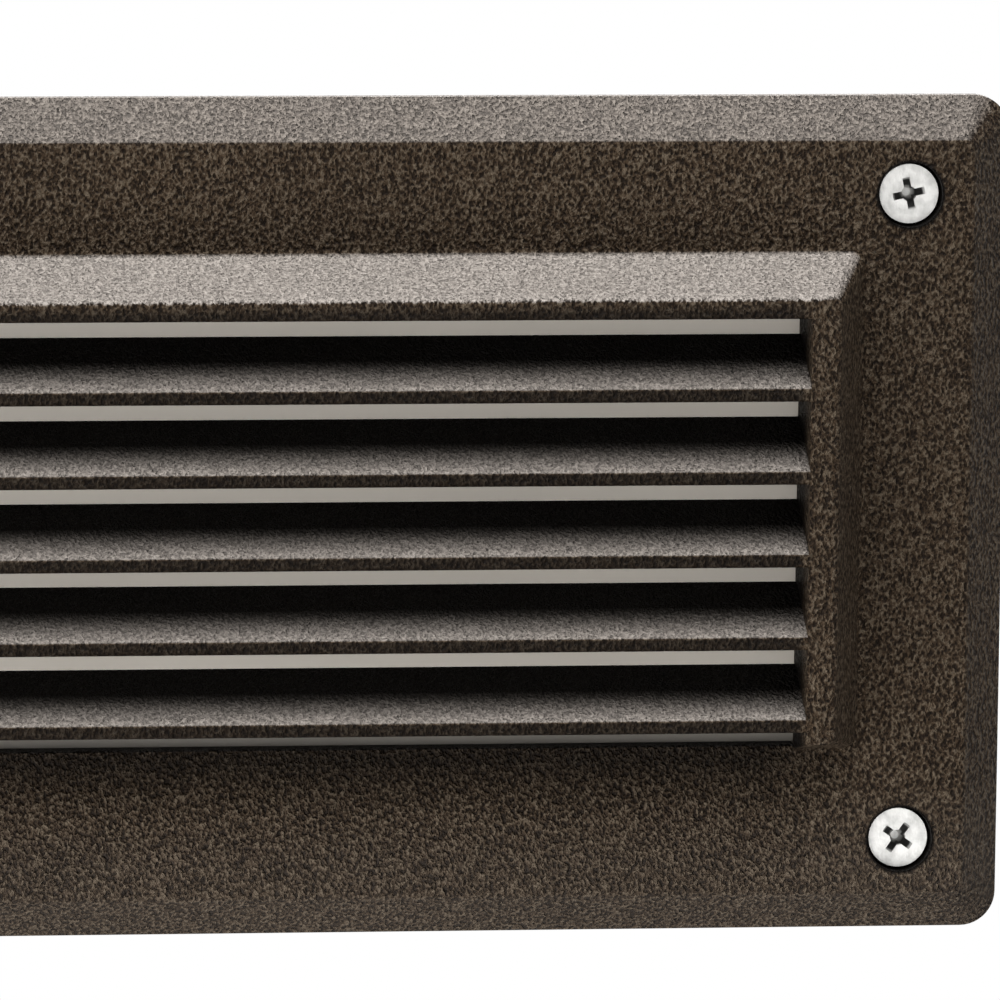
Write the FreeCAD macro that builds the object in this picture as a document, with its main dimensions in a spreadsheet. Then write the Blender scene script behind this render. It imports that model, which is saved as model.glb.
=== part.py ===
import FreeCAD, Part
import math
import os

import Sketcher
from FreeCAD import Placement, Rotation, Vector

# Recessed brick step light: a cast louvred faceplate with its lens, over a cast housing that is set in
# the wall. Millimetres. X to the right, Y into the wall, Z up. The wall's surface is Y = 0 and the
# origin is the middle of the faceplate's back rim.

doc = FreeCAD.newDocument("StepLight")
sheet = doc.addObject("Spreadsheet::Sheet", "Dimensions")

DIMENSIONS = {
    # faceplate
    "plate_width": 234.95,
    "plate_height": 114.3,
    "plate_depth": 7.5,
    "plate_bevel": 5.7,
    "plate_corner": 4.8,
    "plate_top_corner": 1.6,
    "plate_ridge": 0.9,
    "plate_wall": 3.0,
    # how far a feature runs into the one that it joins, and a cut past the one that it leaves
    "join": 0.5,
    "past": 1.0,
    "back_rim": 5.5,
    # hood over the louvres
    "hood_half_width": 97.1,
    "hood_top": 36.7,
    "hood_bottom": -31.6,
    "hood_rise": 11.1,
    "hood_slope": 5.2,
    "hood_end_slope": 2.2,
    "hood_edge": 0.9,
    "hood_foot": 1.2,
    "opening_half": 88.0,
    "opening_top": 28.7,
    "opening_back_top": 31.5,
    "opening_bottom": -31.0,
    "lip_depth": 2.0,
    # louvre blades
    "blade_count": 5,
    "blade_pitch": 11.3,
    "blade_tip": 19.2,
    "blade_lip": 1.75,
    "blade_rise": 6.3,
    "blade_run": 9.8,
    "blade_thick": 2.0,
    "blade_round": 0.5,
    # face screws
    "screw_half_x": 103.1,
    "screw_half_z": 44.2,
    "screw_sink": 1.5,
    "screw_head": 4.05,
    "screw_head_rim": 0.5,
    "screw_head_deep": 2.4,
    "screw_shank": 2.08,
    "screw_reach": 14.0,
    "screw_well": 4.45,
    "screw_clear": 2.25,
    "screw_gap": 0.1,
    "boss_radius": 5.0,
    "boss_back": -1.5,
    "recess_radius": 2.25,
    "recess_arm": 0.5,
    "recess_deep": 2.5,
    # lens and what holds it
    "lens_half_width": 92.8,
    "lens_top": 35.4,
    "lens_bottom": -35.0,
    "lens_thick": 4.0,
    "lens_corner": 3.0,
    "seal_thick": 0.8,
    "seal_width": 3.2,
    "clip_x": 60.0,
    "clip_top": 40.6,
    "clip_bottom": -40.2,
    "clip_boss": 2.9,
    "small_bore": 1.5,
    "clip_width": 9.0,
    "clip_thick": 0.8,
    # gasket between faceplate and housing
    "gasket_thick": 4.3,
    "gasket_pad": 6.4,
    # housing
    "box_half_width": 109.0,
    "box_half_height": 50.5,
    "box_depth": 76.0,
    "box_wall": 3.2,
    "box_corner": 5.0,
    "box_draft": 1.5,
    "box_back_edge": 1.6,
    "post_depth": 26.0,
    "post_size": 6.6,
    "post_bore": 2.18,
    "post_bore_floor": 3.0,
    "conduit_bore": 10.3,
    "conduit_hub": 14.0,
    "conduit_hub_out": 3.0,
    "conduit_hub_in": 2.0,
    "plug_long": 8.2,
    "conduit_end_y": 38.0,
    "conduit_back_x": 70.0,
    "fixing_x": 88.0,
    "fixing_z": 26.0,
    "fixing_bore": 2.6,
    # tray, lamp board and driver
    "tray_half_width": 90.0,
    "tray_half_height": 33.0,
    "tray_face": 24.0,
    "tray_sheet": 1.2,
    "tray_wing": 10.0,
    "stand_radius": 3.6,
    "stand_tap": 11.0,
    "stand_x": 80.0,
    "stand_z": 27.0,
    "board_half_width": 74.0,
    "board_half_height": 10.0,
    "board_thick": 1.6,
    "pad_thick": 0.5,
    "led_count": 12,
    "led_pitch": 11.6,
    "driver_length": 92.0,
    "driver_height": 34.0,
    "driver_deep": 24.0,
    "driver_x": -1.0,
    "tab_long": 7.0,
    "tab_half_height": 6.0,
    "tab_thick": 2.4,
    "tab_hole": 3.4,
    "lead_radius": 0.9,
    "lead_bend": 4.0,
}

for row, (alias, value) in enumerate(DIMENSIONS.items(), start=1):
    sheet.set(f"A{row}", alias)
    sheet.set(f"B{row}", str(value))
    sheet.setAlias(f"B{row}", alias)
doc.recompute()


def size(alias):
    """A driving dimension as a number, read back from the sheet."""
    return float(sheet.get(alias))


def cells(expression):
    """An expression in aliases, rewritten so that each alias points at the sheet."""
    words = []
    word = ""
    for letter in expression + " ":
        if letter.isalpha() or letter == "_" or (word and letter.isdigit()):
            word += letter
            continue
        words.append(f"{sheet.Name}.{word}" if word in DIMENSIONS else word)
        words.append(letter)
        word = ""
    return "".join(words).strip()


gauge = doc.addObject("App::FeaturePython", "Gauge")
gauge.addProperty("App::PropertyFloat", "Reading")


def number(expression):
    """The number that an expression in aliases gives."""
    gauge.setExpression("Reading", cells(expression))
    gauge.recompute()
    return gauge.Reading


# ---------------------------------------------------------------- bodies, sketches and features


def new_body(label):
    body = doc.addObject("PartDesign::Body", label)
    body.Label = label
    return body


def new_sketch(body, name, plane, offset=None):
    """A sketch on one of the body's origin planes, moved along that plane's normal."""
    sketch = body.newObject("Sketcher::SketchObject", name)
    support = [f for f in body.Origin.OriginFeatures if f.Role == plane][0]
    sketch.AttachmentSupport = [(support, "")]
    sketch.MapMode = "FlatFace"
    if offset is not None:
        sketch.setExpression("AttachmentOffset.Base.z", cells(offset))
    return sketch


def outline(sketch, corners):
    """A closed outline of straight edges; each corner is a pair of expressions."""
    points = [(number(u), number(v)) for u, v in corners]
    count = len(points)
    first = sketch.GeometryCount
    for i in range(count):
        start = Vector(*points[i], 0)
        end = Vector(*points[(i + 1) % count], 0)
        sketch.addGeometry(Part.LineSegment(start, end), False)
    for i in range(count):
        after = first + (i + 1) % count
        sketch.addConstraint(Sketcher.Constraint("Coincident", first + i, 2, after, 1))
    for i, (u, v) in enumerate(corners):
        for kind, expression, value in (("DistanceX", u, points[i][0]), ("DistanceY", v, points[i][1])):
            row = sketch.addConstraint(Sketcher.Constraint(kind, -1, 1, first + i, 1, value))
            sketch.setExpression(f"Constraints[{row}]", cells(expression))
    return sketch


def rectangle(sketch, left, right, low, high):
    return outline(sketch, [(left, low), (right, low), (right, high), (left, high)])


def circle(sketch, u, v, radius):
    """A circle whose centre and radius are expressions."""
    centre = (number(u), number(v))
    shape = Part.Circle(Vector(*centre, 0), Vector(0, 0, 1), number(radius))
    ring = sketch.addGeometry(shape, False)
    for kind, expression, value in (("DistanceX", u, centre[0]), ("DistanceY", v, centre[1])):
        row = sketch.addConstraint(Sketcher.Constraint(kind, -1, 1, ring, 3, value))
        sketch.setExpression(f"Constraints[{row}]", cells(expression))
    row = sketch.addConstraint(Sketcher.Constraint("Radius", ring, number(radius)))
    sketch.setExpression(f"Constraints[{row}]", cells(radius))
    return sketch


def rounded(sketch, half_width, half_height, radius):
    """A rectangle about the sketch's origin, its corners arcs that run into its sides."""
    across, up, bend = number(half_width), number(half_height), number(radius)
    arcs = []
    for turn, (side, level) in enumerate(((1, 1), (-1, 1), (-1, -1), (1, -1))):
        centre = (side * (across - bend), level * (up - bend))
        ring = Part.Circle(Vector(*centre, 0), Vector(0, 0, 1), bend)
        start = turn * math.pi / 2
        arc = sketch.addGeometry(Part.ArcOfCircle(ring, start, start + math.pi / 2), False)
        for kind, sign, half, value in (
            ("DistanceX", side, half_width, centre[0]),
            ("DistanceY", level, half_height, centre[1]),
        ):
            row = sketch.addConstraint(Sketcher.Constraint(kind, -1, 1, arc, 3, value))
            sketch.setExpression(f"Constraints[{row}]", cells(f"{sign} * ({half} - {radius})"))
        row = sketch.addConstraint(Sketcher.Constraint("Radius", arc, bend))
        sketch.setExpression(f"Constraints[{row}]", cells(radius))
        arcs.append(arc)
    for arc, after in zip(arcs, arcs[1:] + arcs[:1]):
        side = Part.LineSegment(sketch.getPoint(arc, 2), sketch.getPoint(after, 1))
        line = sketch.addGeometry(side, False)
        sketch.addConstraint(Sketcher.Constraint("Tangent", arc, 2, line, 1))
        sketch.addConstraint(Sketcher.Constraint("Tangent", line, 2, after, 1))
    return sketch


def loft(body, name, first, last):
    """A block with straight sides from one sketch to another."""
    feature = body.newObject("PartDesign::AdditiveLoft", name)
    feature.Profile = first
    feature.Sections = [last]
    feature.Ruled = True
    body.Tip = feature
    doc.recompute()
    return feature


def extrude(body, kind, name, sketch, length, back=False, middle=False):
    """A pad or pocket of the sketch; a feature that changes no volume is an error."""
    before = body.Shape.Volume if body.Shape and not body.Shape.isNull() else 0.0
    feature = body.newObject(kind, name)
    feature.Profile = sketch
    feature.Reversed = back
    feature.Midplane = middle
    feature.setExpression("Length", cells(length))
    body.Tip = feature
    doc.recompute()
    change = body.Shape.Volume - before
    if (change <= 0) == (kind == "PartDesign::Pad"):
        raise RuntimeError(f"{name} changed the volume by {change:.3f}")
    return feature


def pad(body, name, sketch, length, **options):
    return extrude(body, "PartDesign::Pad", name, sketch, length, **options)


def pocket(body, name, sketch, length, **options):
    return extrude(body, "PartDesign::Pocket", name, sketch, length, **options)


def edges_where(shape, test):
    return [f"Edge{i}" for i, edge in enumerate(shape.Edges, start=1) if test(edge)]


def soften(body, name, kind, amount, test):
    """Fillets or chamfers the edges that the test picks."""
    base = body.Tip
    names = edges_where(base.Shape, test)
    if not names:
        raise RuntimeError(f"{name} found no edge")
    feature = body.newObject(kind, name)
    feature.Base = (base, names)
    feature.setExpression("Radius" if kind.endswith("Fillet") else "Size", cells(amount))
    body.Tip = feature
    doc.recompute()
    if feature.Shape.isNull() or not feature.Shape.isValid() or "Invalid" in feature.State:
        raise RuntimeError(f"{name} failed on {names}")
    return feature


def runs_along(edge, axis):
    """True for a straight edge along an axis, given by its letter."""
    box = edge.BoundBox
    lengths = {"x": box.XLength, "y": box.YLength, "z": box.ZLength}
    others = [v for k, v in lengths.items() if k != axis]
    return lengths[axis] > 1.0 and max(others) < 1e-6


def near(a, b, reach=0.02):
    return abs(a - b) <= reach


# ---------------------------------------------------------------- faceplate

HALF_W, HALF_H = "plate_width / 2", "plate_height / 2"
FRONT = "plate_depth + hood_rise"
SEAT = "plate_wall - plate_depth"
LENS_FRONT = f"{SEAT} + seal_thick"
LENS_BACK = f"{LENS_FRONT} + lens_thick"


def build_faceplate():
    body = new_body("faceplate")
    rim = "plate_depth - plate_bevel"
    slab = rounded(new_sketch(body, "PlateOutline", "XZ_Plane"), HALF_W, HALF_H, "plate_corner")
    pad(body, "PlateRim", slab, rim)
    low = rounded(new_sketch(body, "BevelFoot", "XZ_Plane", rim), HALF_W, HALF_H, "plate_corner")
    top = rounded(
        new_sketch(body, "BevelTop", "XZ_Plane", "plate_depth"),
        f"{HALF_W} - plate_bevel",
        f"{HALF_H} - plate_bevel",
        "plate_top_corner",
    )
    loft(body, "PlateBevel", low, top)
    face_y = -size("plate_depth")

    def face_loop(edge):
        return near(edge.BoundBox.YMin, face_y) and near(edge.BoundBox.YMax, face_y)

    soften(body, "PlateRidge", "PartDesign::Fillet", "plate_ridge", face_loop)
    # the hood: a tapered block on the face, steeper at its open lower end
    foot = new_sketch(body, "HoodFoot", "XZ_Plane", "plate_depth - join")
    rectangle(foot, "-hood_half_width", "hood_half_width", "hood_bottom", "hood_top")
    brow = new_sketch(body, "HoodFront", "XZ_Plane", FRONT)
    rectangle(
        brow,
        "-(hood_half_width - hood_slope)",
        "hood_half_width - hood_slope",
        "hood_bottom + hood_end_slope",
        "hood_top - hood_slope",
    )
    loft(body, "Hood", foot, brow)
    front_y = -(size("plate_depth") + size("hood_rise"))
    base_y = -size("plate_depth")

    def slope_ridge(edge):
        box = edge.BoundBox
        return near(box.YMin, front_y) and box.YMax > base_y - 0.2 and box.YLength > size("hood_rise") / 2

    soften(body, "HoodRidges", "PartDesign::Fillet", "hood_edge * 2", slope_ridge)

    def front_rim(edge):
        box = edge.BoundBox
        return near(box.YMin, front_y) and near(box.YMax, front_y) and box.ZMax > -28

    soften(body, "HoodFrontRim", "PartDesign::Fillet", "hood_edge", front_rim)

    def foot_line(edge):
        box = edge.BoundBox
        flat = near(box.YMin, base_y) and near(box.YMax, base_y)
        return flat and abs(box.Center.x) < size("hood_half_width") + 0.1 and abs(box.Center.z) < 40

    soften(body, "HoodFootBlend", "PartDesign::Fillet", "hood_foot", foot_line)
    # the opening behind the louvres, and the hood's missing lower rail
    throat = new_sketch(body, "Throat", "XZ_Plane", "-past")
    rectangle(
        throat,
        "-opening_half - 0.6",
        "opening_half + 0.6",
        "opening_bottom",
        "opening_back_top",
    )
    pocket(body, "ThroatCut", throat, "plate_depth + 2 * past", back=True)
    nose = new_sketch(body, "HoodInside", "YZ_Plane")
    outline(
        nose,
        [
            (f"-({FRONT}) - past", "opening_top"),
            (f"-({FRONT}) + lip_depth", "opening_top"),
            ("-plate_depth - join", "opening_back_top"),
            ("-plate_depth + past", "opening_back_top"),
            ("-plate_depth + past", "opening_bottom"),
            ("-plate_depth", "opening_bottom"),
            ("-plate_depth", "opening_bottom - 2"),
            (f"-({FRONT}) - past", "opening_bottom - 2"),
        ],
    )
    pocket(body, "HoodInsideCut", nose, "2 * opening_half", middle=True)

    # louvre blades, sloping down and out, patterned down the opening
    blade = new_sketch(body, "BladeSection", "YZ_Plane")
    back_y = f"-({FRONT}) + blade_run"
    outline(
        blade,
        [
            (f"-({FRONT})", "blade_tip - blade_lip"),
            (f"-({FRONT}) + 0.9", "blade_tip - blade_lip"),
            (back_y, "blade_tip + blade_rise - blade_thick"),
            (back_y, "blade_tip + blade_rise"),
            (f"-({FRONT})", "blade_tip"),
        ],
    )
    leaf = pad(body, "Blade", blade, "2 * (opening_half + join)", middle=True)
    rows = body.newObject("PartDesign::LinearPattern", "Blades")
    rows.Originals = [leaf]
    rows.Direction = (blade, ["V_Axis"])
    rows.Reversed = True
    rows.setExpression("Length", cells("blade_pitch * (blade_count - 1)"))
    rows.setExpression("Occurrences", cells("blade_count"))
    body.Tip = rows
    doc.recompute()

    def lip(edge):
        box = edge.BoundBox
        return runs_along(edge, "x") and near(box.YMin, front_y) and box.XLength > size("opening_half")

    soften(body, "LipRounds", "PartDesign::Fillet", "blade_round", lip)

    # the open back: a hollow round the lens, a rim that meets the wall, bosses for the screws and clips
    hollow = new_sketch(body, "BackHollow", "XZ_Plane", "-past")
    inset_w, inset_h = f"{HALF_W} - back_rim", f"{HALF_H} - back_rim"
    rectangle(hollow, f"-({inset_w})", inset_w, f"-({inset_h})", inset_h)
    pocket(body, "BackHollowCut", hollow, "plate_depth - plate_wall + past", back=True)
    wall_y = "plate_depth - plate_wall"
    bosses = new_sketch(body, "ScrewBosses", "XZ_Plane", "-boss_back")
    for sx in ("-", ""):
        for sz in ("-", ""):
            circle(bosses, f"{sx}screw_half_x", f"{sz}screw_half_z", "boss_radius")
    pad(body, "ScrewBossPads", bosses, f"{wall_y} + boss_back + join")
    clips = new_sketch(body, "ClipBosses", "XZ_Plane", f"-({LENS_BACK})")
    clip_bores = new_sketch(body, "ClipBores", "XZ_Plane", f"-({LENS_BACK}) - past")
    for sx in ("-", ""):
        for z in ("clip_top", "clip_bottom"):
            circle(clips, f"{sx}clip_x", z, "clip_boss")
            circle(clip_bores, f"{sx}clip_x", z, "small_bore")
    pad(body, "ClipBossPads", clips, "lens_thick + seal_thick + join")
    pocket(body, "ClipBoresCut", clip_bores, "lens_thick + seal_thick + past", back=True)

    # screw holes: a clear well for the sunk head, a cone, and the shank's hole
    shank = new_sketch(body, "ShankHoles", "XZ_Plane", "-past")
    for sx in ("-", ""):
        for sz in ("-", ""):
            circle(shank, f"{sx}screw_half_x", f"{sz}screw_half_z", "screw_clear")
    pocket(body, "ShankHolesCut", shank, "plate_depth + 2 * past", back=True)
    well = new_sketch(body, "HeadWells", "XZ_Plane", "plate_depth + past")
    for sx in ("-", ""):
        for sz in ("-", ""):
            circle(well, f"{sx}screw_half_x", f"{sz}screw_half_z", "screw_well")
    pocket(body, "HeadWellsCut", well, "screw_sink + screw_head_rim + past + screw_gap")
    return body


def cone_cut(body, name, x, z):
    """The cone under a sunk screw head."""
    groove = body.newObject("PartDesign::SubtractiveCone", name)
    groove.setExpression("Radius1", cells("screw_head + 0.15"))
    groove.setExpression("Radius2", cells("screw_clear"))
    groove.setExpression("Height", cells("screw_head_deep - screw_head_rim"))
    groove.Placement = Placement(
        Vector(x, number("-plate_depth + screw_sink + screw_head_rim + screw_gap"), z),
        Rotation(Vector(1, 0, 0), -90),
    )
    body.Tip = groove
    return groove


# ---------------------------------------------------------------- plain solids and groups


def block(name, left, right, near_y, far_y, low, high):
    """A box between two expressions on each axis."""
    box = doc.addObject("Part::Box", name)
    box.setExpression("Length", cells(f"({right}) - ({left})"))
    box.setExpression("Width", cells(f"({far_y}) - ({near_y})"))
    box.setExpression("Height", cells(f"({high}) - ({low})"))
    for axis, start in (("x", left), ("y", near_y), ("z", low)):
        box.setExpression(f"Placement.Base.{axis}", cells(start))
    return box


TURNS = {
    "x": Rotation(Vector(0, 1, 0), 90),
    "y": Rotation(Vector(1, 0, 0), -90),
    "z": Rotation(),
}


def rod(name, axis, radius, length, x, y, z, tip=None):
    """A cylinder, or a cone where a tip radius is given, growing along +axis from a point."""
    solid = doc.addObject("Part::Cylinder" if tip is None else "Part::Cone", name)
    solid.Placement = Placement(Vector(), TURNS[axis])
    if tip is None:
        solid.setExpression("Radius", cells(radius))
    else:
        solid.setExpression("Radius1", cells(radius))
        solid.setExpression("Radius2", cells(tip))
    solid.setExpression("Height", cells(length))
    for letter, start in (("x", x), ("y", y), ("z", z)):
        solid.setExpression(f"Placement.Base.{letter}", cells(start))
    return solid


def fuse(name, solids):
    joined = doc.addObject("Part::MultiFuse", name)
    joined.Shapes = solids
    joined.Refine = True
    return joined


def cut(name, base, tools):
    tool = tools[0] if len(tools) == 1 else fuse(f"{name}Tools", tools)
    left = doc.addObject("Part::Cut", name)
    left.Base = base
    left.Tool = tool
    return left


def common(name, solids):
    shared = doc.addObject("Part::MultiCommon", name)
    shared.Shapes = solids
    return shared


def copies(name, master, spots):
    """Identical pieces as one group of separate solids; a spot is (x, y, z, turn about Y in degrees)."""
    doc.recompute()
    shapes = []
    for x, y, z, turn in spots:
        shape = master.Shape.copy()
        shape.Placement = Placement(Vector(x, y, z), Rotation(Vector(0, 1, 0), turn)).multiply(shape.Placement)
        shapes.append(shape)
    group = doc.addObject("Part::Feature", name)
    group.Shape = Part.makeCompound(shapes)
    return group


def corners_of(x, z):
    return [(sx * x, sz * z) for sz in (1, -1) for sx in (-1, 1)]


def pan_screw(name, head, head_high, shank, reach):
    """A small pan-head screw that points along +Y, its head's underside at the origin."""
    cap = rod(f"{name}Cap", "y", head, f"-({head_high})", "0", "0", "0", tip=f"({head}) * 0.78")
    cap.Placement = Placement(Vector(), Rotation(Vector(1, 0, 0), 90))
    cap.setExpression("Height", cells(head_high))
    stem = rod(f"{name}Stem", "y", shank, f"({reach}) + 0.2", "0", "-0.2", "0")
    slots = [
        block(f"{name}SlotA", "-1.5", "1.5", f"-({head_high}) - 0.1", f"-({head_high}) * 0.35", "-0.3", "0.3"),
        block(f"{name}SlotB", "-0.3", "0.3", f"-({head_high}) - 0.1", f"-({head_high}) * 0.35", "-1.5", "1.5"),
    ]
    return cut(name, fuse(f"{name}Blank", [cap, stem]), slots)


# ---------------------------------------------------------------- leads held inside the housing


def lead_path(points):
    """Straight runs joined by tangent arcs, each as large as its two runs and the set bend allow."""
    edges = []
    start = points[0]
    for before, corner, after in zip(points, points[1:], points[2:]):
        back, ahead = before - corner, after - corner
        run = min(back.Length, ahead.Length)
        back.normalize()
        ahead.normalize()
        turn = math.pi - back.getAngle(ahead)
        radius = min(size("lead_bend"), 0.45 * run / math.tan(turn / 2))
        trim = radius * math.tan(turn / 2)
        inward = back + ahead
        inward.normalize()
        touch_in, touch_out = corner + back * trim, corner + ahead * trim
        reach = math.hypot(radius, trim) - radius
        edges.append(Part.LineSegment(start, touch_in).toShape())
        edges.append(Part.Arc(touch_in, corner + inward * reach, touch_out).toShape())
        start = touch_out
    edges.append(Part.LineSegment(start, points[-1]).toShape())
    return Part.Wire(edges)


def lead(points):
    """A round insulated lead along its route."""
    path = lead_path([Vector(*point) for point in points])
    direction = path.Edges[0].tangentAt(path.Edges[0].FirstParameter)
    radius = size("lead_radius")
    ring = Part.Wire(Part.makeCircle(radius, path.Edges[0].Vertexes[0].Point, direction))
    tube = path.makePipeShell([ring], True, True)
    expected = math.pi * radius**2 * path.Length
    if abs(tube.Volume / expected - 1) > 0.02:
        raise RuntimeError("a lead's tube has the wrong volume")
    return tube


def leads(name, routes):
    group = doc.addObject("Part::Feature", name)
    group.Shape = Part.makeCompound([lead(points) for points in routes])
    return group


# ---------------------------------------------------------------- lens, seal, clips and their screws


def build_lens():
    body = new_body("lens")
    plan = new_sketch(body, "LensOutline", "XZ_Plane", f"-({LENS_BACK})")
    rectangle(plan, "-lens_half_width", "lens_half_width", "lens_bottom", "lens_top")
    pad(body, "LensPane", plan, "lens_thick")
    soften(body, "LensCorners", "PartDesign::Fillet", "lens_corner", lambda e: runs_along(e, "y"))
    rim = (number(LENS_FRONT), number(LENS_BACK))

    def face_rim(edge):
        box = edge.BoundBox
        return any(near(box.YMin, y) and near(box.YMax, y) for y in rim)

    soften(body, "LensArris", "PartDesign::Chamfer", "0.4", face_rim)
    return body


def build_lens_seal():
    body = new_body("lens_seal")
    plan = new_sketch(body, "SealOutline", "XZ_Plane", f"-({LENS_FRONT})")
    rectangle(plan, "-lens_half_width", "lens_half_width", "lens_bottom", "lens_top")
    rectangle(
        plan,
        "seal_width - lens_half_width",
        "lens_half_width - seal_width",
        "lens_bottom + seal_width",
        "lens_top - seal_width",
    )
    pad(body, "SealRing", plan, "seal_thick")
    return body


def build_lens_clips():
    """Spring clips: one end under the screw, the other stepped down onto the pane's edge."""
    body = new_body("ClipMaster")
    side = new_sketch(body, "ClipSide", "YZ_Plane")
    outline(
        side,
        [
            ("0", "3.4"),
            ("clip_thick", "3.4"),
            ("clip_thick", "-3.0"),
            ("clip_thick + 1", "-4.0"),
            ("clip_thick + 1", "-5.4"),
            ("clip_thick + 0.1", "-8.6"),
            ("0.1", "-8.6"),
            ("1", "-5.4"),
            ("1", "-4.2"),
            ("0", "-3.2"),
        ],
    )
    pad(body, "ClipStrip", side, "clip_width", middle=True)
    hole = circle(new_sketch(body, "ClipHole", "XZ_Plane", "-3"), "0", "0", "small_bore + 0.1")
    pocket(body, "ClipHoleCut", hole, "6", back=True)
    doc.recompute()
    x, back = size("clip_x"), number(LENS_BACK)
    top, bottom = size("clip_top"), size("clip_bottom")
    spots = [(-x, back, top, 0), (x, back, top, 0), (-x, back, bottom, 180), (x, back, bottom, 180)]
    return copies("lens_clips", body, spots)


def build_clip_screws():
    master = pan_screw("ClipScrewMaster", "2.7", "1.7", "small_bore - 0.05", "clip_thick + 4")
    master_turn = Rotation(Vector(0, 0, 1), 180)
    doc.recompute()
    x, seat = size("clip_x"), number(LENS_BACK) + size("clip_thick")
    shapes = []
    for level in (size("clip_top"), size("clip_bottom")):
        for side in (-1, 1):
            shape = master.Shape.copy()
            shape.Placement = Placement(Vector(side * x, seat, level), master_turn)
            shapes.append(shape)
    group = doc.addObject("Part::Feature", "lens_clip_screws")
    group.Shape = Part.makeCompound(shapes)
    return group


# ---------------------------------------------------------------- face screws, their keepers, the gasket


def build_face_screws():
    """Flat-head cross-recess screws; each stands turned as it was driven home."""
    rim = rod("ScrewRim", "y", "screw_head", "screw_head_rim", "0", "0", "0")
    under = rod(
        "ScrewCone", "y", "screw_head", "screw_head_deep - screw_head_rim", "0", "screw_head_rim", "0", tip="screw_shank"
    )
    shank = rod("ScrewShank", "y", "screw_shank", "screw_reach - 1.2 + plate_depth - screw_sink", "0", "0", "0")
    tip = rod(
        "ScrewTip", "y", "screw_shank", "1.2", "0", "screw_reach - 1.2 + plate_depth - screw_sink", "0", tip="1.3"
    )
    blank = fuse("ScrewBlank", [rim, under, shank, tip])
    wide, arm, deep = "recess_radius", "recess_arm", "recess_deep"
    funnel = rod("RecessFunnel", "y", wide, deep, "0", "-0.01", "0", tip="0.55")
    arms = fuse(
        "RecessArms",
        [
            block("RecessArmA", f"-{wide}", wide, "-0.1", deep, f"-{arm}", arm),
            block("RecessArmB", f"-{arm}", arm, "-0.1", deep, f"-{wide}", wide),
            rod("RecessCore", "y", f"2.1 * {arm}", deep, "0", "-0.01", "0", tip=arm),
        ],
    )
    master = cut("ScrewMaster", blank, [common("Recess", [funnel, arms])])
    x, z = size("screw_half_x"), size("screw_half_z")
    head = size("screw_sink") - size("plate_depth")
    turns = (24, -12, -41, 35)
    spots = [(sx, head, sz, turn) for (sx, sz), turn in zip(corners_of(x, z), turns)]
    return copies("face_screws", master, spots)


def build_screw_keepers():
    """Nylon rings that keep the loosened screws in the faceplate."""
    ring = rod("KeeperRing", "y", "screw_head", "0.9", "0", "boss_back + 0.05", "0")
    hole = rod("KeeperHole", "y", "screw_shank + 0.05", "3", "0", "boss_back - 1", "0")
    master = cut("KeeperMaster", ring, [hole])
    spots = [(x, 0, z, 0) for x, z in corners_of(size("screw_half_x"), size("screw_half_z"))]
    return copies("screw_keepers", master, spots)


def build_gasket():
    """The sponge ring that the faceplate squeezes onto the housing's rim."""
    body = new_body("faceplate_gasket")
    start = f"{SEAT} + gasket_thick"
    ring = new_sketch(body, "GasketRing", "XZ_Plane", f"-({start})")
    rectangle(ring, "-box_half_width", "box_half_width", "-box_half_height", "box_half_height")
    inner_x, inner_z = "box_half_width - box_wall - 1.4", "box_half_height - box_wall - 0.9"
    rectangle(ring, f"-({inner_x})", inner_x, f"-({inner_z})", inner_z)
    pad(body, "GasketRingPad", ring, "gasket_thick")
    lobes = new_sketch(body, "GasketLobes", "XZ_Plane", f"-({start})")
    holes = new_sketch(body, "GasketHoles", "XZ_Plane", f"-({start}) - 1")
    for sx in (-1, 1):
        for sz in (-1, 1):
            near_x, far_x = f"{sx} * (screw_half_x - gasket_pad)", f"{sx} * (screw_half_x + 5.6)"
            near_z, far_z = f"{sz} * (screw_half_z - gasket_pad)", f"{sz} * (screw_half_z + 5.9)"
            outline(lobes, [(near_x, near_z), (far_x, near_z), (far_x, far_z), (near_x, far_z)])
            circle(holes, f"{sx} * screw_half_x", f"{sz} * screw_half_z", "boss_radius + 0.1")
    pad(body, "GasketLobePads", lobes, "gasket_thick")
    pocket(body, "GasketHolesCut", holes, "gasket_thick + 2", back=True)
    return body


# ---------------------------------------------------------------- housing


def drafted_block(body, kind, name, half_width, half_height, depth):
    """A block from the rim back into the wall, its four sides drawn in by the casting's draft."""
    feature = body.newObject(kind, name)
    draw = f"({depth}) * tan(box_draft)"
    limits = {"Ymin": "0", "Ymax": depth}
    for letter, half in (("X", half_width), ("Z", half_height)):
        limits[f"{letter}min"], limits[f"{letter}max"] = f"-({half})", half
        limits[f"{letter}2min"], limits[f"{letter}2max"] = f"-({half}) + {draw}", f"{half} - {draw}"
    for limit, expression in limits.items():
        feature.setExpression(limit, cells(expression))
    body.Tip = feature
    doc.recompute()
    return feature


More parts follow.
